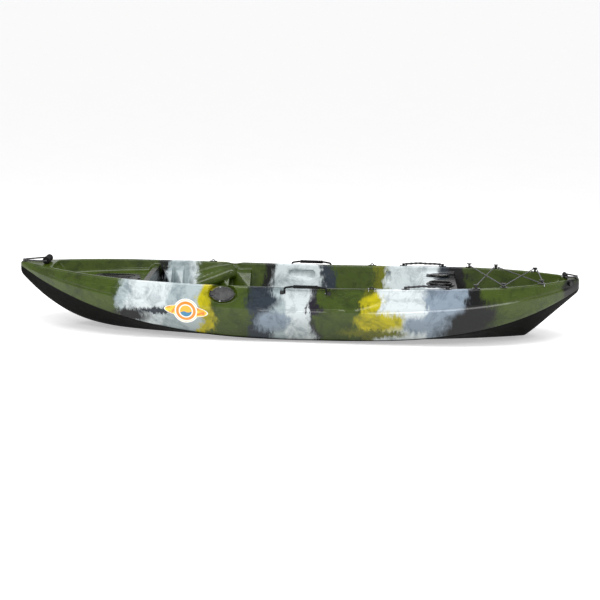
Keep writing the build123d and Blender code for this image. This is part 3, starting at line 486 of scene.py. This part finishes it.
def roundedLine(corners, cuts, counts, crowding, arc=4):
    # straight runs between corners, each inner corner B rounded by (1 - t)^2 A + 2 t (1 - t) B + t^2 C
    # every corner is a pair of arrays over the stations; a run has counts samples, and a crowding under 1
    # packs them towards its end
    last = len(corners) - 1
    starts, ends = [], []
    for i in range(last):
        (y0, z0), (y1, z1) = corners[i], corners[i + 1]
        run = np.hypot(y1 - y0, z1 - z0) + 1e-9
        first = np.minimum(cuts[i], 0.45 * run) / run
        final = np.minimum(cuts[i + 1], 0.45 * run) / run
        starts.append((y0 + (y1 - y0) * first, z0 + (z1 - z0) * first))
        ends.append((y1 - (y1 - y0) * final, z1 - (z1 - z0) * final))
    ys, zs, runIndex = [], [], []
    for i in range(last):
        for t in np.linspace(0, 1, counts[i]) ** crowding[i]:
            ys.append(starts[i][0] + (ends[i][0] - starts[i][0]) * t)
            zs.append(starts[i][1] + (ends[i][1] - starts[i][1]) * t)
            runIndex.append(i)
        if i < last - 1:
            for t in np.arange(1, arc) / arc:
                a, b, c = (1 - t) ** 2, 2 * t * (1 - t), t * t
                ys.append(a * ends[i][0] + b * corners[i + 1][0] + c * starts[i + 1][0])
                zs.append(a * ends[i][1] + b * corners[i + 1][1] + c * starts[i + 1][1])
                runIndex.append(i + 0.5)
    return np.stack(ys, 1), np.stack(zs, 1), np.array(runIndex)


# hull: one closed grid of stations, outside skin, rim and wells

holders = {
    # middle of the rim, lean of its flange, lean of its tube in degrees, and depth
    "front": {"x": -0.365, "y": 0.3548, "z": 0.245, "normal": 25.0, "tilt": 52.0, "depth": 0.235},
    "rear": {"x": 0.750, "y": 0.236, "z": 0.260, "normal": 90.0, "tilt": 40.0, "depth": 0.150},
}
wells = {
    # x and height of the floor: None is the rim, and a negative height hangs from the rim
    "profile": [(-1.290, None), (-1.286, -0.020), (-1.245, 0.238), (-0.830, 0.238), (-0.800, -0.026),
                (-0.770, -0.026), (-0.734, 0.090), (0.0, 0.090), (0.040, 0.118), (0.084, 0.106),
                (0.585, 0.106), (0.665, 0.260),
                (0.835, 0.260), (0.860, 0.156), (1.225, 0.156), (1.378, -0.026), (1.382, None)],
    "steps": [(-0.757, -0.702), (-0.692, -0.640), (-0.470, -0.388), (-0.362, -0.272)],
    "stepDrop": 0.038,
    "bulge": {"from": (-0.386, 0.237), "to": (-0.556, 0.183), "radius": 0.036, "first": 0.006, "more": 0.080,
              "skirt": 0.034},
    "gripSlot": {"x": 0.004, "z": 0.236, "half": 0.073, "high": 0.022, "deep": 0.020},
    "pad": {"long": 0.071, "short": 0.047, "ahead": 0.003},
    "strapSlot": {"x": 0.479, "z": 0.236, "half": 0.010, "high": 0.027, "deep": 0.020},
}
creases = {
    "upperBow": [(-1.44, 0.316), (-1.334, 0.291), (-1.201, 0.279), (-1.044, 0.268), (-0.903, 0.260)],
    "panel": [(-0.239, 0.262), (-0.233, 0.218), (-0.204, 0.177), (-0.11, 0.171), (0.124, 0.174),
              (0.307, 0.182), (0.384, 0.201), (0.427, 0.218), (0.47, 0.262)],
    "ledge": 0.009,
}


def floorZ(x):
    # straight lines between the profile's points, and the rim's own height past both ends
    xs = np.array([at for at, _ in wells["profile"]])
    zs = np.array([rim if z is None else rim + z if z < 0 else z
                   for (_, z), rim in zip(wells["profile"], rimZ(xs))])
    return np.where((x <= xs[0]) | (x >= xs[-1]), rimZ(x), np.interp(x, xs, zs))


def stationLine(count, crowding, reach):
    # stations between -reach and reach whose density is 1 + sum of weight e^(-((x - middle) / width)^2)
    fine = np.linspace(-reach, reach, 30001)
    density = np.ones_like(fine)
    for middle, width, weight in crowding:
        density += weight * np.exp(-(((fine - middle) / width) ** 2))
    share = np.cumsum(density)
    share = (share - share[0]) / (share[-1] - share[0])
    return np.interp(np.linspace(0, 1, count), share, fine)


def stepBump(x, z):
    # foot steps: the smaller of a face that deepens aft and a facet that slopes up to the wall
    bump = np.zeros_like(x)
    for front, back in wells["steps"]:
        along = (x - front) / (back - front)
        lower = 0.012 + 0.058 * along
        top = rimZ(back) - wells["stepDrop"]
        facet = 0.014 + 0.62 * (top - z)
        depth = np.minimum(lower, np.maximum(facet, 0))
        within = rise(x, front, 0.006) * (1 - rise(x, back, 0.005)) * (1 - rise(z, top, 0.006))
        bump = np.maximum(bump, depth * within)
    return bump


def tubeBulge(x, z):
    # sqrt(radius^2 - away^2), with away the distance from the tube's line, plus a skirt that deepens along it
    bulge = wells["bulge"]
    a, b = np.array(bulge["from"]), np.array(bulge["to"])
    run = b - a
    t = np.clip(((x - a[0]) * run[0] + (z - a[1]) * run[1]) / (run @ run), 0, 1)
    away = np.hypot(x - a[0] - t * run[0], z - a[1] - t * run[1])
    back = np.sqrt(np.maximum(0, bulge["radius"] ** 2 - away**2))
    depth = bulge["first"] + bulge["more"] * t
    return back + depth * (1 - smooth((away - 0.022) / bulge["skirt"]))


def slotDepth(x, z):
    # deep inside the finger slot's stadium or the strap slot's box, nothing outside, a smooth step between
    grip, strap = wells["gripSlot"], wells["strapSlot"]
    dx = np.maximum(0, np.abs(x - grip["x"]) - (grip["half"] - grip["high"]))
    away = np.hypot(dx, z - grip["z"])
    depth = grip["deep"] * (1 - rise(away, grip["high"], 0.007))
    narrow = np.maximum(np.abs(x - strap["x"]) - strap["half"], np.abs(z - strap["z"]) - strap["high"])
    return np.maximum(depth, strap["deep"] * (1 - rise(narrow, 0, 0.006)))


def wallRelief(x, z):
    # how far the well wall moves outwards
    return slotDepth(x, z) - np.maximum(stepBump(x, z), tubeBulge(x, z))


def sideRelief(x, z):
    # ledges below the bow, upper and stern creases less the side panel, each a product of smooth steps
    ledge = creases["ledge"]
    hook = 0.09 * smooth((x + 0.79) / 0.09) ** 2
    bow = (1 - rise(x, -0.715, 0.03)) * (1 - rise(z, creaseZ(x) - 0.004 + hook, 0.007)) * 1.5
    ux, uz = zip(*creases["upperBow"])
    upper = (1 - rise(x, -0.90, 0.08)) * (1 - rise(z, np.interp(x, ux, uz), 0.008)) * 1.3
    px, pz = zip(*creases["panel"])
    within = rise(x, px[0], 0.010) * (1 - rise(x, px[-1] - 0.02, 0.06))
    panel = within * rise(z, np.interp(x, px, pz), 0.008)
    stern = rise(x, 0.33, 0.16) * (1 - rise(z, creaseZ(x) - 0.004, 0.009))
    fade = smooth((half - 0.01 - np.abs(x)) / 0.12)
    return fade * (ledge * (bow + upper + stern) - 0.010 * panel - 0.0055)


def hullRings(x):
    # half of each station's ring, from the keel up the starboard side, over the rim and down into the well:
    # a rounded line through eight corners, moved by the reliefs of the side and the wall
    rim, floor = rimZ(x), floorZ(x)
    belly = halfBreadth(x)
    flat = belly * (0.52 - 0.22 * keelZ(x) / hullLines["keelTip"])
    drop = np.maximum(rim - floor, 0)
    onDeck = (x < -1.288) | (x > 1.380)
    inner = np.maximum(rimInner(x), rimOuter(x) * 0.55)
    foot = np.where(onDeck, 0.5 * inner, inner - hullLines["wellDraft"] * drop)
    crown = np.where(onDeck, 0.05 * (inner - foot), 0)
    zero = np.zeros_like(x)
    corners = [(zero, keelZ(x)), (flat, keelZ(x)), (0.86 * belly, chineZ(x)), (belly, creaseZ(x)),
               (rimOuter(x), rim), (inner, rim), (foot, floor + crown), (zero, floor + 1.6 * crown)]
    cuts = [0, 0.030, 0.008, 0.014, 0.009, 0.007, 0.022, 0]
    counts = [3, 4, 22, 26, 3, 24, 5]
    y, z, run = roundedLine(corners, cuts, counts, [1, 1, 0.55, 1, 1, 1, 1])
    xs = np.repeat(x[:, None], y.shape[1], 1)
    side = (run > 1.5) & (run < 4)
    wall = (run > 4.9) & (run < 6)
    y[:, side] += sideRelief(xs, z)[:, side] * np.where(run[side] > 3, 0.6, 1)
    moved = y + wallRelief(xs, z)
    y[:, wall] = np.where(onDeck[:, None], y, moved)[:, wall]
    footShift = wallRelief(x, floor)
    scale = np.where(onDeck, 1, 1 + footShift / np.maximum(foot, 1e-3))
    ground = run >= 6
    y[:, ground] *= scale[:, None]
    # oval pockets under the front rod holders: what stands above the flange's plane is taken down to it
    place, pad = holders["front"], wells["pad"]
    lean = math.radians(place["normal"])
    above = (y - place["y"]) * math.cos(lean) + (z - place["z"]) * math.sin(lean)
    slide = (z - place["z"]) * math.cos(lean) - (y - place["y"]) * math.sin(lean)
    ring = np.hypot((xs - place["x"] + pad["ahead"]) / pad["long"], slide / pad["short"])
    taken = np.maximum(0, above) * (1 - rise(ring, 1, 0.14)) * (run < 4.6)
    y = y - taken * math.cos(lean)
    z = z - taken * math.sin(lean)
    return xs, y, z, run


def hullGrid():
    # the starboard half of each ring and its mirror, with both tips closed by sqrt(1 - past^2)
    crowding = [(-1.288, 0.006, 5), (-0.815, 0.020, 1.5), (-0.752, 0.026, 2.5), (-0.702, 0.008, 3),
                (-0.640, 0.008, 3), (-0.388, 0.008, 3), (-0.272, 0.008, 3), (-0.069, 0.012, 1.5),
                (0.077, 0.012, 1.5), (0.479, 0.018, 2),
                (0.625, 0.05, 0.8), (0.848, 0.018, 3), (1.380, 0.006, 4), (-0.239, 0.008, 2)]
    tip = 0.012
    inner = stationLine(430, crowding, half - tip)
    rounding = tip * np.sin(np.linspace(0, math.pi / 2, 7)[1:-1])
    x = np.concatenate([-(half - tip + rounding[::-1]), inner, half - tip + rounding])
    xs, y, z, run = hullRings(x)
    past = np.maximum(0, np.abs(x) - (half - tip)) / tip
    shrink = np.sqrt(np.maximum(0, 1 - past**2))[:, None]
    middle = ((keelZ(x) + rimZ(x)) / 2)[:, None]
    y = y * shrink
    z = middle + (z - middle) * (0.4 + 0.6 * shrink)
    columns = y.shape[1]
    xs = np.concatenate([xs, xs[:, 1:-1]], 1)
    ys = np.concatenate([y, -y[:, columns - 2:0:-1]], 1)
    zs = np.concatenate([z, z[:, columns - 2:0:-1]], 1)
    run = np.concatenate([run, run[columns - 2:0:-1]])
    piece = closedGrid("hullSkin", np.stack([xs, ys, zs], -1), hullPlastic, 38)
    outside = np.tile((run < 4.4).astype(np.float32), len(x))
    underside = np.tile((run < 1.7).astype(np.float32), len(x))
    for name, values in (("outside", outside), ("underside", underside)):
        attribute = piece.data.attributes.new(name, "FLOAT", "POINT")
        attribute.data.foreach_set("value", np.concatenate([values, [1, 1]]).astype(np.float32))
    print("hull grid:", len(piece.data.vertices), "points,", len(piece.data.polygons), "faces")
    return piece


def turnedRings(base, axis, steps, sides=28):
    # base + axis d + radius (across cos a + third sin a) for each step, which is (d, radius)
    axis = Vector(axis).normalized()
    across = axis.orthogonal().normalized()
    third = axis.cross(across)
    angle = np.linspace(0, 2 * math.pi, sides, endpoint=False)
    spoke = np.cos(angle)[:, None] * np.array(across) + np.sin(angle)[:, None] * np.array(third)
    return np.array([np.array(base) + np.array(axis) * d + spoke * r for d, r in steps])


def holderAxis(place, side):
    # the tube leans back from the pad's normal, so it goes forward as it goes down
    normal = math.radians(place["normal"])
    tilt = math.radians(place["tilt"])
    out, up = math.cos(normal) * math.cos(tilt), math.sin(normal) * math.cos(tilt)
    return Vector((math.sin(tilt), side * out, up))


openings = {
    "tube": {"above": 0.060, "collar": 0.0284, "ledge": -0.037, "bore": 0.0250, "past": 0.001},
    "deckPlate": {"x": 0.750, "z": 0.260, "radius": 0.0565, "above": 0.02, "below": -0.12},
    # x, y and floor height of each pair, then how far past the skin they go and their two radii
    "scuppers": [(-0.430, 0.150, 0.090), (0.130, 0.170, 0.106), (0.500, 0.150, 0.106), (0.960, 0.120, 0.156)],
    "scupperPast": (0.004, -0.02),
    "scupperRadii": (0.0193, 0.0158),
    "hatch": {"x": -0.965, "long": 0.094, "wide": 0.088, "heights": (0.245, 0.075)},
}


def cutOpenings(piece):
    # rod tubes, deck plate, scuppers and the hatch mouth, taken out of the skin in one pass
    solids = []
    tube, plate, hatch = openings["tube"], openings["deckPlate"], openings["hatch"]
    for place in holders.values():
        steps = [(tube["above"], tube["collar"]), (tube["ledge"], tube["collar"]),
                 (tube["ledge"], tube["bore"]), (-place["depth"] - tube["past"], tube["bore"])]
        for _, side in bothSides:
            base = (place["x"], side * place["y"], place["z"])
            solids.append(turnedRings(base, holderAxis(place, side), steps))
    steps = [(plate["above"], plate["radius"]), (plate["below"], plate["radius"])]
    solids.append(turnedRings((plate["x"], 0, plate["z"]), (0, 0, 1), steps, 64))
    (above, below), (wide, narrow) = openings["scupperPast"], openings["scupperRadii"]
    for x, y, top in openings["scuppers"]:
        for _, side in bothSides:
            solids.append(turnedRings((x, side * y, 0), (0, 0, 1), [(top + above, wide), (below, narrow)]))
    mouth = np.array([(-1, -1), (1, -1), (1, 1), (-1, 1)]) * (hatch["long"], hatch["wide"]) + (hatch["x"], 0)
    solids.append(np.array([[(x, y, z) for x, y in mouth] for z in hatch["heights"]]))
    pieces = [closedGrid("cutter", rings, hullPlastic) for rings in solids]
    with bpy.context.temp_override(active_object=pieces[0], selected_editable_objects=pieces):
        bpy.ops.object.join()
    cutter = pieces[0]
    for name in ("outside", "underside"):
        cutter.data.attributes.new(name, "FLOAT", "POINT")
    change = piece.modifiers.new("openings", "BOOLEAN")
    change.operation = "DIFFERENCE"
    change.solver = "MANIFOLD"
    change.object = cutter
    cut = bpy.data.meshes.new_from_object(piece.evaluated_get(bpy.context.evaluated_depsgraph_get()))
    piece.modifiers.clear()
    piece.data = cut
    bpy.data.objects.remove(cutter)
    cut.polygons.foreach_set("use_smooth", np.ones(len(cut.polygons), bool))
    cut.set_sharp_from_angle(angle=math.radians(38))
    print("openings cut:", len(cut.polygons), "faces")


hullSkin = hullGrid()
cutOpenings(hullSkin)
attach(hullSkin, "hull")
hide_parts("hull_shell")
print("hull made")


# round and ribbed pieces along a path

def pathFrames(points):
    # side = tangent x up and cross = side x tangent, both square to the path
    tangent = np.gradient(points, axis=0)
    tangent /= np.linalg.norm(tangent, axis=1)[:, None]
    up = np.array([0.02, 0.03, 1.0])
    side = np.cross(tangent, up)
    side = side / np.linalg.norm(side, axis=1)[:, None]
    return side, np.cross(side, tangent)


def roundedPath(corners, reach, arc=8, spacing=0.0035):
    # straight runs, each corner B rounded by (1 - t)^2 A + 2 t (1 - t) B + t^2 C, resampled evenly
    corners = [np.array(c, float) for c in corners]
    line = [corners[0]]
    for i in range(1, len(corners) - 1):
        back, ahead = corners[i - 1] - corners[i], corners[i + 1] - corners[i]
        cut = min(reach, 0.45 * np.linalg.norm(back), 0.45 * np.linalg.norm(ahead))
        first = corners[i] + back / np.linalg.norm(back) * cut
        last = corners[i] + ahead / np.linalg.norm(ahead) * cut
        for t in np.linspace(0, 1, arc):
            line.append((1 - t) ** 2 * first + 2 * t * (1 - t) * corners[i] + t * t * last)
    line.append(corners[-1])
    line = np.array(line)
    far = np.concatenate([[0], np.cumsum(np.linalg.norm(np.diff(line, axis=0), axis=1))])
    at = np.linspace(0, far[-1], max(8, int(far[-1] / spacing)))
    return np.stack([np.interp(at, far, line[:, k]) for k in range(3)], 1), at


def addUV(piece, rows, columns, around, alongLength):
    # u is the way round in metres and v the way along in metres
    mesh = piece.data
    layer = mesh.uv_layers.new(name="UVMap")
    corner = np.empty(len(mesh.loops), int)
    mesh.loops.foreach_get("vertex_index", corner)
    row = np.minimum(corner // columns, rows - 1)
    uv = np.stack([(corner % columns) / columns * around, alongLength[row]], 1)
    layer.data.foreach_set("uv", uv.ravel().astype(np.float32))


def cordPiece(name, corners, reach, radius, sides, material, body, node, lump=0.0):
    # path + radius (1 + lump sin(2 pi s / 26 mm)) (across cos a + up sin a), with s the distance along it
    points, far = roundedPath(corners, reach)
    across, up = pathFrames(points)
    angle = np.linspace(0, 2 * math.pi, sides, endpoint=False)
    girth = radius * (1 + lump * np.sin(2 * math.pi * far / 0.026))[:, None, None]
    rings = points[:, None] + girth * (across[:, None] * np.cos(angle)[None, :, None]
                                        + up[:, None] * np.sin(angle)[None, :, None])
    piece = closedGrid(name, rings, material, 60)
    addUV(piece, len(points), sides, 2 * math.pi * radius, far)
    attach(piece, body)
    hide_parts(node)


cords = {
    # the bungee's corners at its six hooks
    "bungee": [(0.912, -0.3086, 0.3090), (1.0557, 0.3135, 0.3124), (1.2684, -0.2336, 0.3177),
               (1.2684, 0.2336, 0.3241), (1.0557, -0.3135, 0.3189), (0.912, 0.3086, 0.3154)],
    "bungeeRadius": 0.003,
    # share of the way from post to post, and how far the cord wanders out and up
    "keeperShape": [(0.0, 0.0, 0.0), (0.2, 0.0025, 0.003), (0.42, -0.002, 0.0065), (0.62, 0.003, 0.0025),
                    (0.82, -0.0025, 0.0045), (1.0, 0.0, 0.0005)],
    "keeperRadius": 0.0056,
    "keeperEnds": (0.5685, 0.7635),
    "keeperLow": 0.0105,
}
cordPiece("tankBungee", cords["bungee"], 0.014, cords["bungeeRadius"], 12, sheath, "hull", "tank_bungee")
for sideName, side in bothSides:
    front, back = cords["keeperEnds"]
    line = []
    for share, out, high in cords["keeperShape"]:
        x = front + (back - front) * share
        line.append((x, side * (rimMiddle(x) + out), rimZ(x) + cords["keeperLow"] + high))
    cordPiece("keeperCord" + sideName.title(), line, 0.020, cords["keeperRadius"], 14, sheath, "hull",
              "keeper_cord_" + sideName, 0.16)


straps = {
    "bow": {"saddle": (-1.455, 0.334816), "grip": (-1.331, 0.34032), "half": 0.050},
    "stern": {"saddle": (1.457, 0.323455), "grip": (1.399, 0.32648), "half": 0.040},
}
for end, strap in straps.items():
    (saddleX, saddleZ), (gripX, gripZ) = strap["saddle"], strap["grip"]
    tucked, far = strap["half"] - 0.020, strap["half"] + 0.018
    loop = [(gripX, -tucked, gripZ), (gripX, -far, gripZ), (saddleX, -0.016, saddleZ),
            (saddleX, 0.016, saddleZ), (gripX, far, gripZ), (gripX, tucked, gripZ)]
    cordPiece(end + "Strap", loop, 0.010, 0.004, 14, webbing, end + "_handle", end + "_handle_strap")


grips = {
    # half length, radius, bore and number of ribs
    "bow": (0.050, 0.019, 0.00405, 14),
    "stern": (0.040, 0.012, 0.00405, 12),
    "side": (0.062, 0.009, 0.00505, 18),
    "ribDepth": 0.0011,
    "ribbed": 0.90,  # share of the length that has ribs
    "rolled": 0.05,  # share at each end that rolls over
    "roll": 0.006,
    "wall": 0.002,
    "sideMiddle": (0.055, 0.38186, 0.298),
}


def ribbedGrip(name, kind, middle, axis, body, node):
    # radius - depth (1 - cos(2 pi ribs s)) / 2 - roll (1 - sqrt(1 - e^2)), turned about the axis, open bore
    halfLength, radius, bore, ribs = grips[kind]
    sides = 40
    t = np.linspace(-1, 1, 161)
    wave = 0.5 - 0.5 * np.cos(2 * math.pi * ribs * (t + 1) / 2)
    groove = grips["ribDepth"] * wave * (np.abs(t) < grips["ribbed"])
    inEnd = np.maximum(0, np.abs(t) - (1 - grips["rolled"])) / grips["rolled"]
    ends = grips["roll"] * (1 - np.sqrt(np.clip(1 - inEnd**2, 0, 1)))
    outline = np.maximum(radius - groove - ends, bore + grips["wall"])
    steps = [(d * halfLength, r) for d, r in zip(t, outline)]
    rings = turnedRings(middle, axis, [(-halfLength, bore)] + steps + [(halfLength, bore)], sides)
    quads = gridFaces(len(rings), sides, True)
    points = rings.reshape(-1, 3)
    last = (len(rings) - 1) * sides
    k = np.arange(sides)
    after = (k + 1) % sides
    tube = np.stack([last + k, last + after, after, k], -1)
    if signedVolume(points - points.mean(0), quads) < 0:
        quads, tube = quads[:, ::-1], tube[:, ::-1]
    piece = addMesh(name, points, [quads, tube], rubber, True, 50)
    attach(piece, body)
    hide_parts(node)


for end, strap in straps.items():
    middle = (strap["grip"][0], 0, strap["grip"][1])
    ribbedGrip(end + "Grip", end, middle, (0, 1, 0), end + "_handle", end + "_handle_grip")
for sideName, side in bothSides:
    x, y, z = grips["sideMiddle"]
    ribbedGrip("sideGrip" + sideName.title(), "side", (x, side * y, z), (1, 0, 0), "side_handle_" + sideName,
               "side_handle_grip_" + sideName)


capCrown = {"long": 0.047, "wide": 0.032, "foot": 0.0105, "edge": 0.0113, "high": 0.0050, "sides": 56}


def capDome(name, place, side, body):
    # base + normal (edge + high sin t) + oval cos t, with the oval's half axes long and wide
    lean = math.radians(place["normal"])
    normal = np.array((0, side * math.cos(lean), math.sin(lean)))
    along = np.array((1.0, 0, 0))
    across = np.cross(normal, along)
    angle = np.linspace(0, 2 * math.pi, capCrown["sides"], endpoint=False)
    oval = (capCrown["long"] * np.cos(angle)[:, None] * along
            + capCrown["wide"] * np.sin(angle)[:, None] * across)
    crown = np.linspace(0, 1.45, 12)
    steps = [(capCrown["foot"], 1.0)]
    steps += [(capCrown["edge"] + capCrown["high"] * math.sin(t), math.cos(t)) for t in crown]
    base = np.array((place["x"], side * place["y"], place["z"]))
    piece = closedGrid(name, np.array([base + normal * h + oval * r for h, r in steps]), nylon, 60)
    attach(piece, body)


for end, place in holders.items():
    for sideName, side in bothSides:
        capDome(end + sideName.title() + "CapCrown", place, side, "rod_cap_" + end + "_" + sideName)
print("cords, grips and caps made")


# decal on the port side: a plain sun-and-wave badge

badge = {
    "x": -0.553,
    "z": 0.154,
    "round": 0.065,  # radius of the disc
    "long": 0.114,  # half axes of the lobes
    "short": 0.031,
    "tilt": -0.09,
    "above": 0.0008,
    "patch": (0.12, 0.08),  # half size of the piece of side that is measured for it
}


def sideTable(xLine, zLine):
    # half-breadth of the finished side at every station and height, read between its grid points
    _, y, z, run = hullRings(xLine)
    columns = (run >= 2) & (run <= 4)
    return np.array([np.interp(zLine, z[i, columns], y[i, columns]) for i in range(len(xLine))])


def badgeGrid():
    # polar grid with reach max(round, 1 / sqrt((cos / long)^2 + (sin / short)^2)), laid on the side
    rows, columns = 28, 144
    angle = np.linspace(0, 2 * math.pi, columns, endpoint=False)
    lean = angle - badge["tilt"]
    lobe = 1 / np.hypot(np.cos(lean) / badge["long"], np.sin(lean) / badge["short"])
    reach = np.maximum(badge["round"], lobe)
    share = np.linspace(0.02, 1, rows)
    u = share[:, None] * (reach * np.cos(angle))[None]
    v = share[:, None] * (reach * np.sin(angle))[None]
    longPatch, highPatch = badge["patch"]
    xLine = np.linspace(badge["x"] - longPatch, badge["x"] + longPatch, 121)
    zLine = np.linspace(badge["z"] - highPatch, badge["z"] + highPatch, 81)
    table = sideTable(xLine, zLine)
    fx = (badge["x"] + u - xLine[0]) / (xLine[1] - xLine[0])
    fz = (badge["z"] + v - zLine[0]) / (zLine[1] - zLine[0])
    i, j = fx.astype(int), fz.astype(int)
    a, b = fx - i, fz - j
    y = (table[i, j] * (1 - a) * (1 - b) + table[i + 1, j] * a * (1 - b)
         + table[i, j + 1] * (1 - a) * b + table[i + 1, j + 1] * a * b)
    points = np.stack([badge["x"] + u, -(y + badge["above"]), badge["z"] + v], -1)
    quads = gridFaces(rows, columns, True)[:, ::-1]
    k = np.arange(columns)
    fan = np.stack([np.full(columns, rows * columns), k, (k + 1) % columns], -1)
    flatPoints = np.concatenate([points.reshape(-1, 3), points[0].mean(0)[None]])
    piece = addMesh("sunBadge", flatPoints, [quads, fan], printedVinyl())
    edge = piece.data.attributes.new("edge", "FLOAT", "POINT")
    left = ((1 - share[:, None]) * reach[None]).ravel()  # metres to the outline
    edge.data.foreach_set("value", np.concatenate([left, [badge["round"]]]).astype(np.float32))
    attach(piece, "hull")


def printedVinyl():
    # printed vinyl sticker: white border, orange and yellow rays, a blue wave, thin clear gloss over all
    material = newMaterial("printedVinyl")
    place = addNode(material, "TexCoord")
    axes = addNode(material, "SeparateXYZ", {}, {"Vector": (place, "Object")})
    edge = addNode(material, "Attribute", {"attribute_name": "edge"})
    dx = addNode(material, "Math", {"operation": "SUBTRACT"}, {0: (axes, "X"), 1: badge["x"]})
    dz = addNode(material, "Math", {"operation": "SUBTRACT"}, {0: (axes, "Z"), 1: badge["z"]})
    flat = addNode(material, "CombineXYZ", {}, {"X": (dx, 0), "Y": (dz, 0)})
    reach = addNode(material, "VectorMath", {"operation": "LENGTH"}, {0: (flat, 0)})
    blot = addNode(material, "TexNoise", {}, {"Vector": (place, "Object"), "Scale": 55.0, "Detail": 3.0})
    rays = fillRamp(addNode(material, "ValToRGB", {}, {"Fac": (blot, "Fac")}),
                    [(0.40, "#f7d43a"), (0.52, "#f2a516"), (0.62, "#e8761a")])
    ringShare = addNode(material, "MapRange", {}, {"Value": (reach, "Value"), "From Max": 0.06})
    rings = fillRamp(addNode(material, "ValToRGB", {}, {"Fac": (ringShare, 0)}),
                     [(0.0, "#f4b21c"), (0.50, "#f4b21c"), (0.52, "#f4f1e8"), (0.60, "#f4f1e8"),
                      (0.62, "#e98a1c"), (0.84, "#e98a1c"), (0.86, "#f4f1e8"), (1.0, "#f4f1e8")])
    inRings = addNode(material, "MapRange", {},
                      {"Value": (reach, "Value"), "From Min": 0.0585, "From Max": 0.0575})
    colour = (addNode(material, "Mix", {"data_type": "RGBA"},
                      {0: (inRings, 0), 6: (rays, "Color"), 7: (rings, "Color")}), 2)
    ripple = addNode(material, "Math", {"operation": "SINE"},
                     {0: (addNode(material, "Math", {"operation": "MULTIPLY"}, {0: (dx, 0), 1: 150.0}), 0)})
    level = addNode(material, "Math", {"operation": "MULTIPLY_ADD"}, {0: (ripple, 0), 1: 0.003, 2: (dz, 0)})
    low = addNode(material, "MapRange", {}, {"Value": (level, 0), "From Min": -0.0045, "From Max": -0.0055})
    inDisc = addNode(material, "MapRange", {},
                     {"Value": (reach, "Value"), "From Min": 0.031, "From Max": 0.030})
    sea = addNode(material, "Math", {"operation": "MULTIPLY"}, {0: (low, 0), 1: (inDisc, 0)})
    colour = (addNode(material, "Mix", {"data_type": "RGBA"},
                      {0: (sea, 0), 6: colour, 7: toLinear("#2f7fa6")}), 2)
    border = addNode(material, "MapRange", {},
                     {"Value": (edge, "Fac"), "From Min": 0.0052, "From Max": 0.0046})
    colour = (addNode(material, "Mix", {"data_type": "RGBA"},
                      {0: (border, 0), 6: colour, 7: toLinear("#f2f3f4")}), 2)
    shader = addNode(material, "BsdfPrincipled", {}, {"Base Color": colour, "Roughness": 0.28, "IOR": 1.5,
                                                     "Coat Weight": 0.4, "Coat Roughness": 0.1})
    addNode(material, "OutputMaterial", {}, {"Surface": (shader, "BSDF")})
    return material


badgeGrid()
print("badge made")


# finishes of the CAD nodes that stay

slotFinish = {
    "fitting_plastic": nylon, "seal_rubber": rubber, "grip_rubber": rubber, "webbing": webbing,
    "shock_cord": sheath, "stainless_steel": steel, "foam": foam, "hull_plastic": hullPlastic,
}
for part in frame["record"]["subparts"]:
    piece = nodes[part["node"]]
    piece.data.materials.clear()
    piece.data.materials.append(slotFinish[part["material_slot"]])
print("finishes set")


# floor

paper = {"half": 400.0, "below": 0.0005, "glow": 0.42}


def floorGrid():
    # a flat square of pale matt paper, lit a little from within so that it runs out to white
    edge = paper["half"]
    y, x = np.meshgrid(np.linspace(-edge, edge, 3), np.linspace(-edge, edge, 3), indexing="ij")
    points = np.stack([x, y, np.full_like(x, -paper["below"])], -1)
    material = newMaterial("palePaper")
    place = addNode(material, "TexCoord")
    tooth = addNode(material, "TexNoise", {}, {"Vector": (place, "Object"), "Scale": 3.0, "Detail": 2.0})
    tint = fillRamp(addNode(material, "ValToRGB", {}, {"Fac": (tooth, "Fac")}),
                    [(0.3, "#f4f4f4"), (0.7, "#f7f7f7")])
    shader = addNode(material, "BsdfPrincipled", {}, {"Base Color": (tint, "Color"), "Roughness": 0.9,
                                                     "Emission Color": toLinear("#ffffff"),
                                                     "Emission Strength": paper["glow"]})
    addNode(material, "OutputMaterial", {}, {"Surface": (shader, "BSDF")})
    return addMesh("paleFloor", points, [gridFaces(3, 3, False)], material)


floorGrid()

print("scene ready")
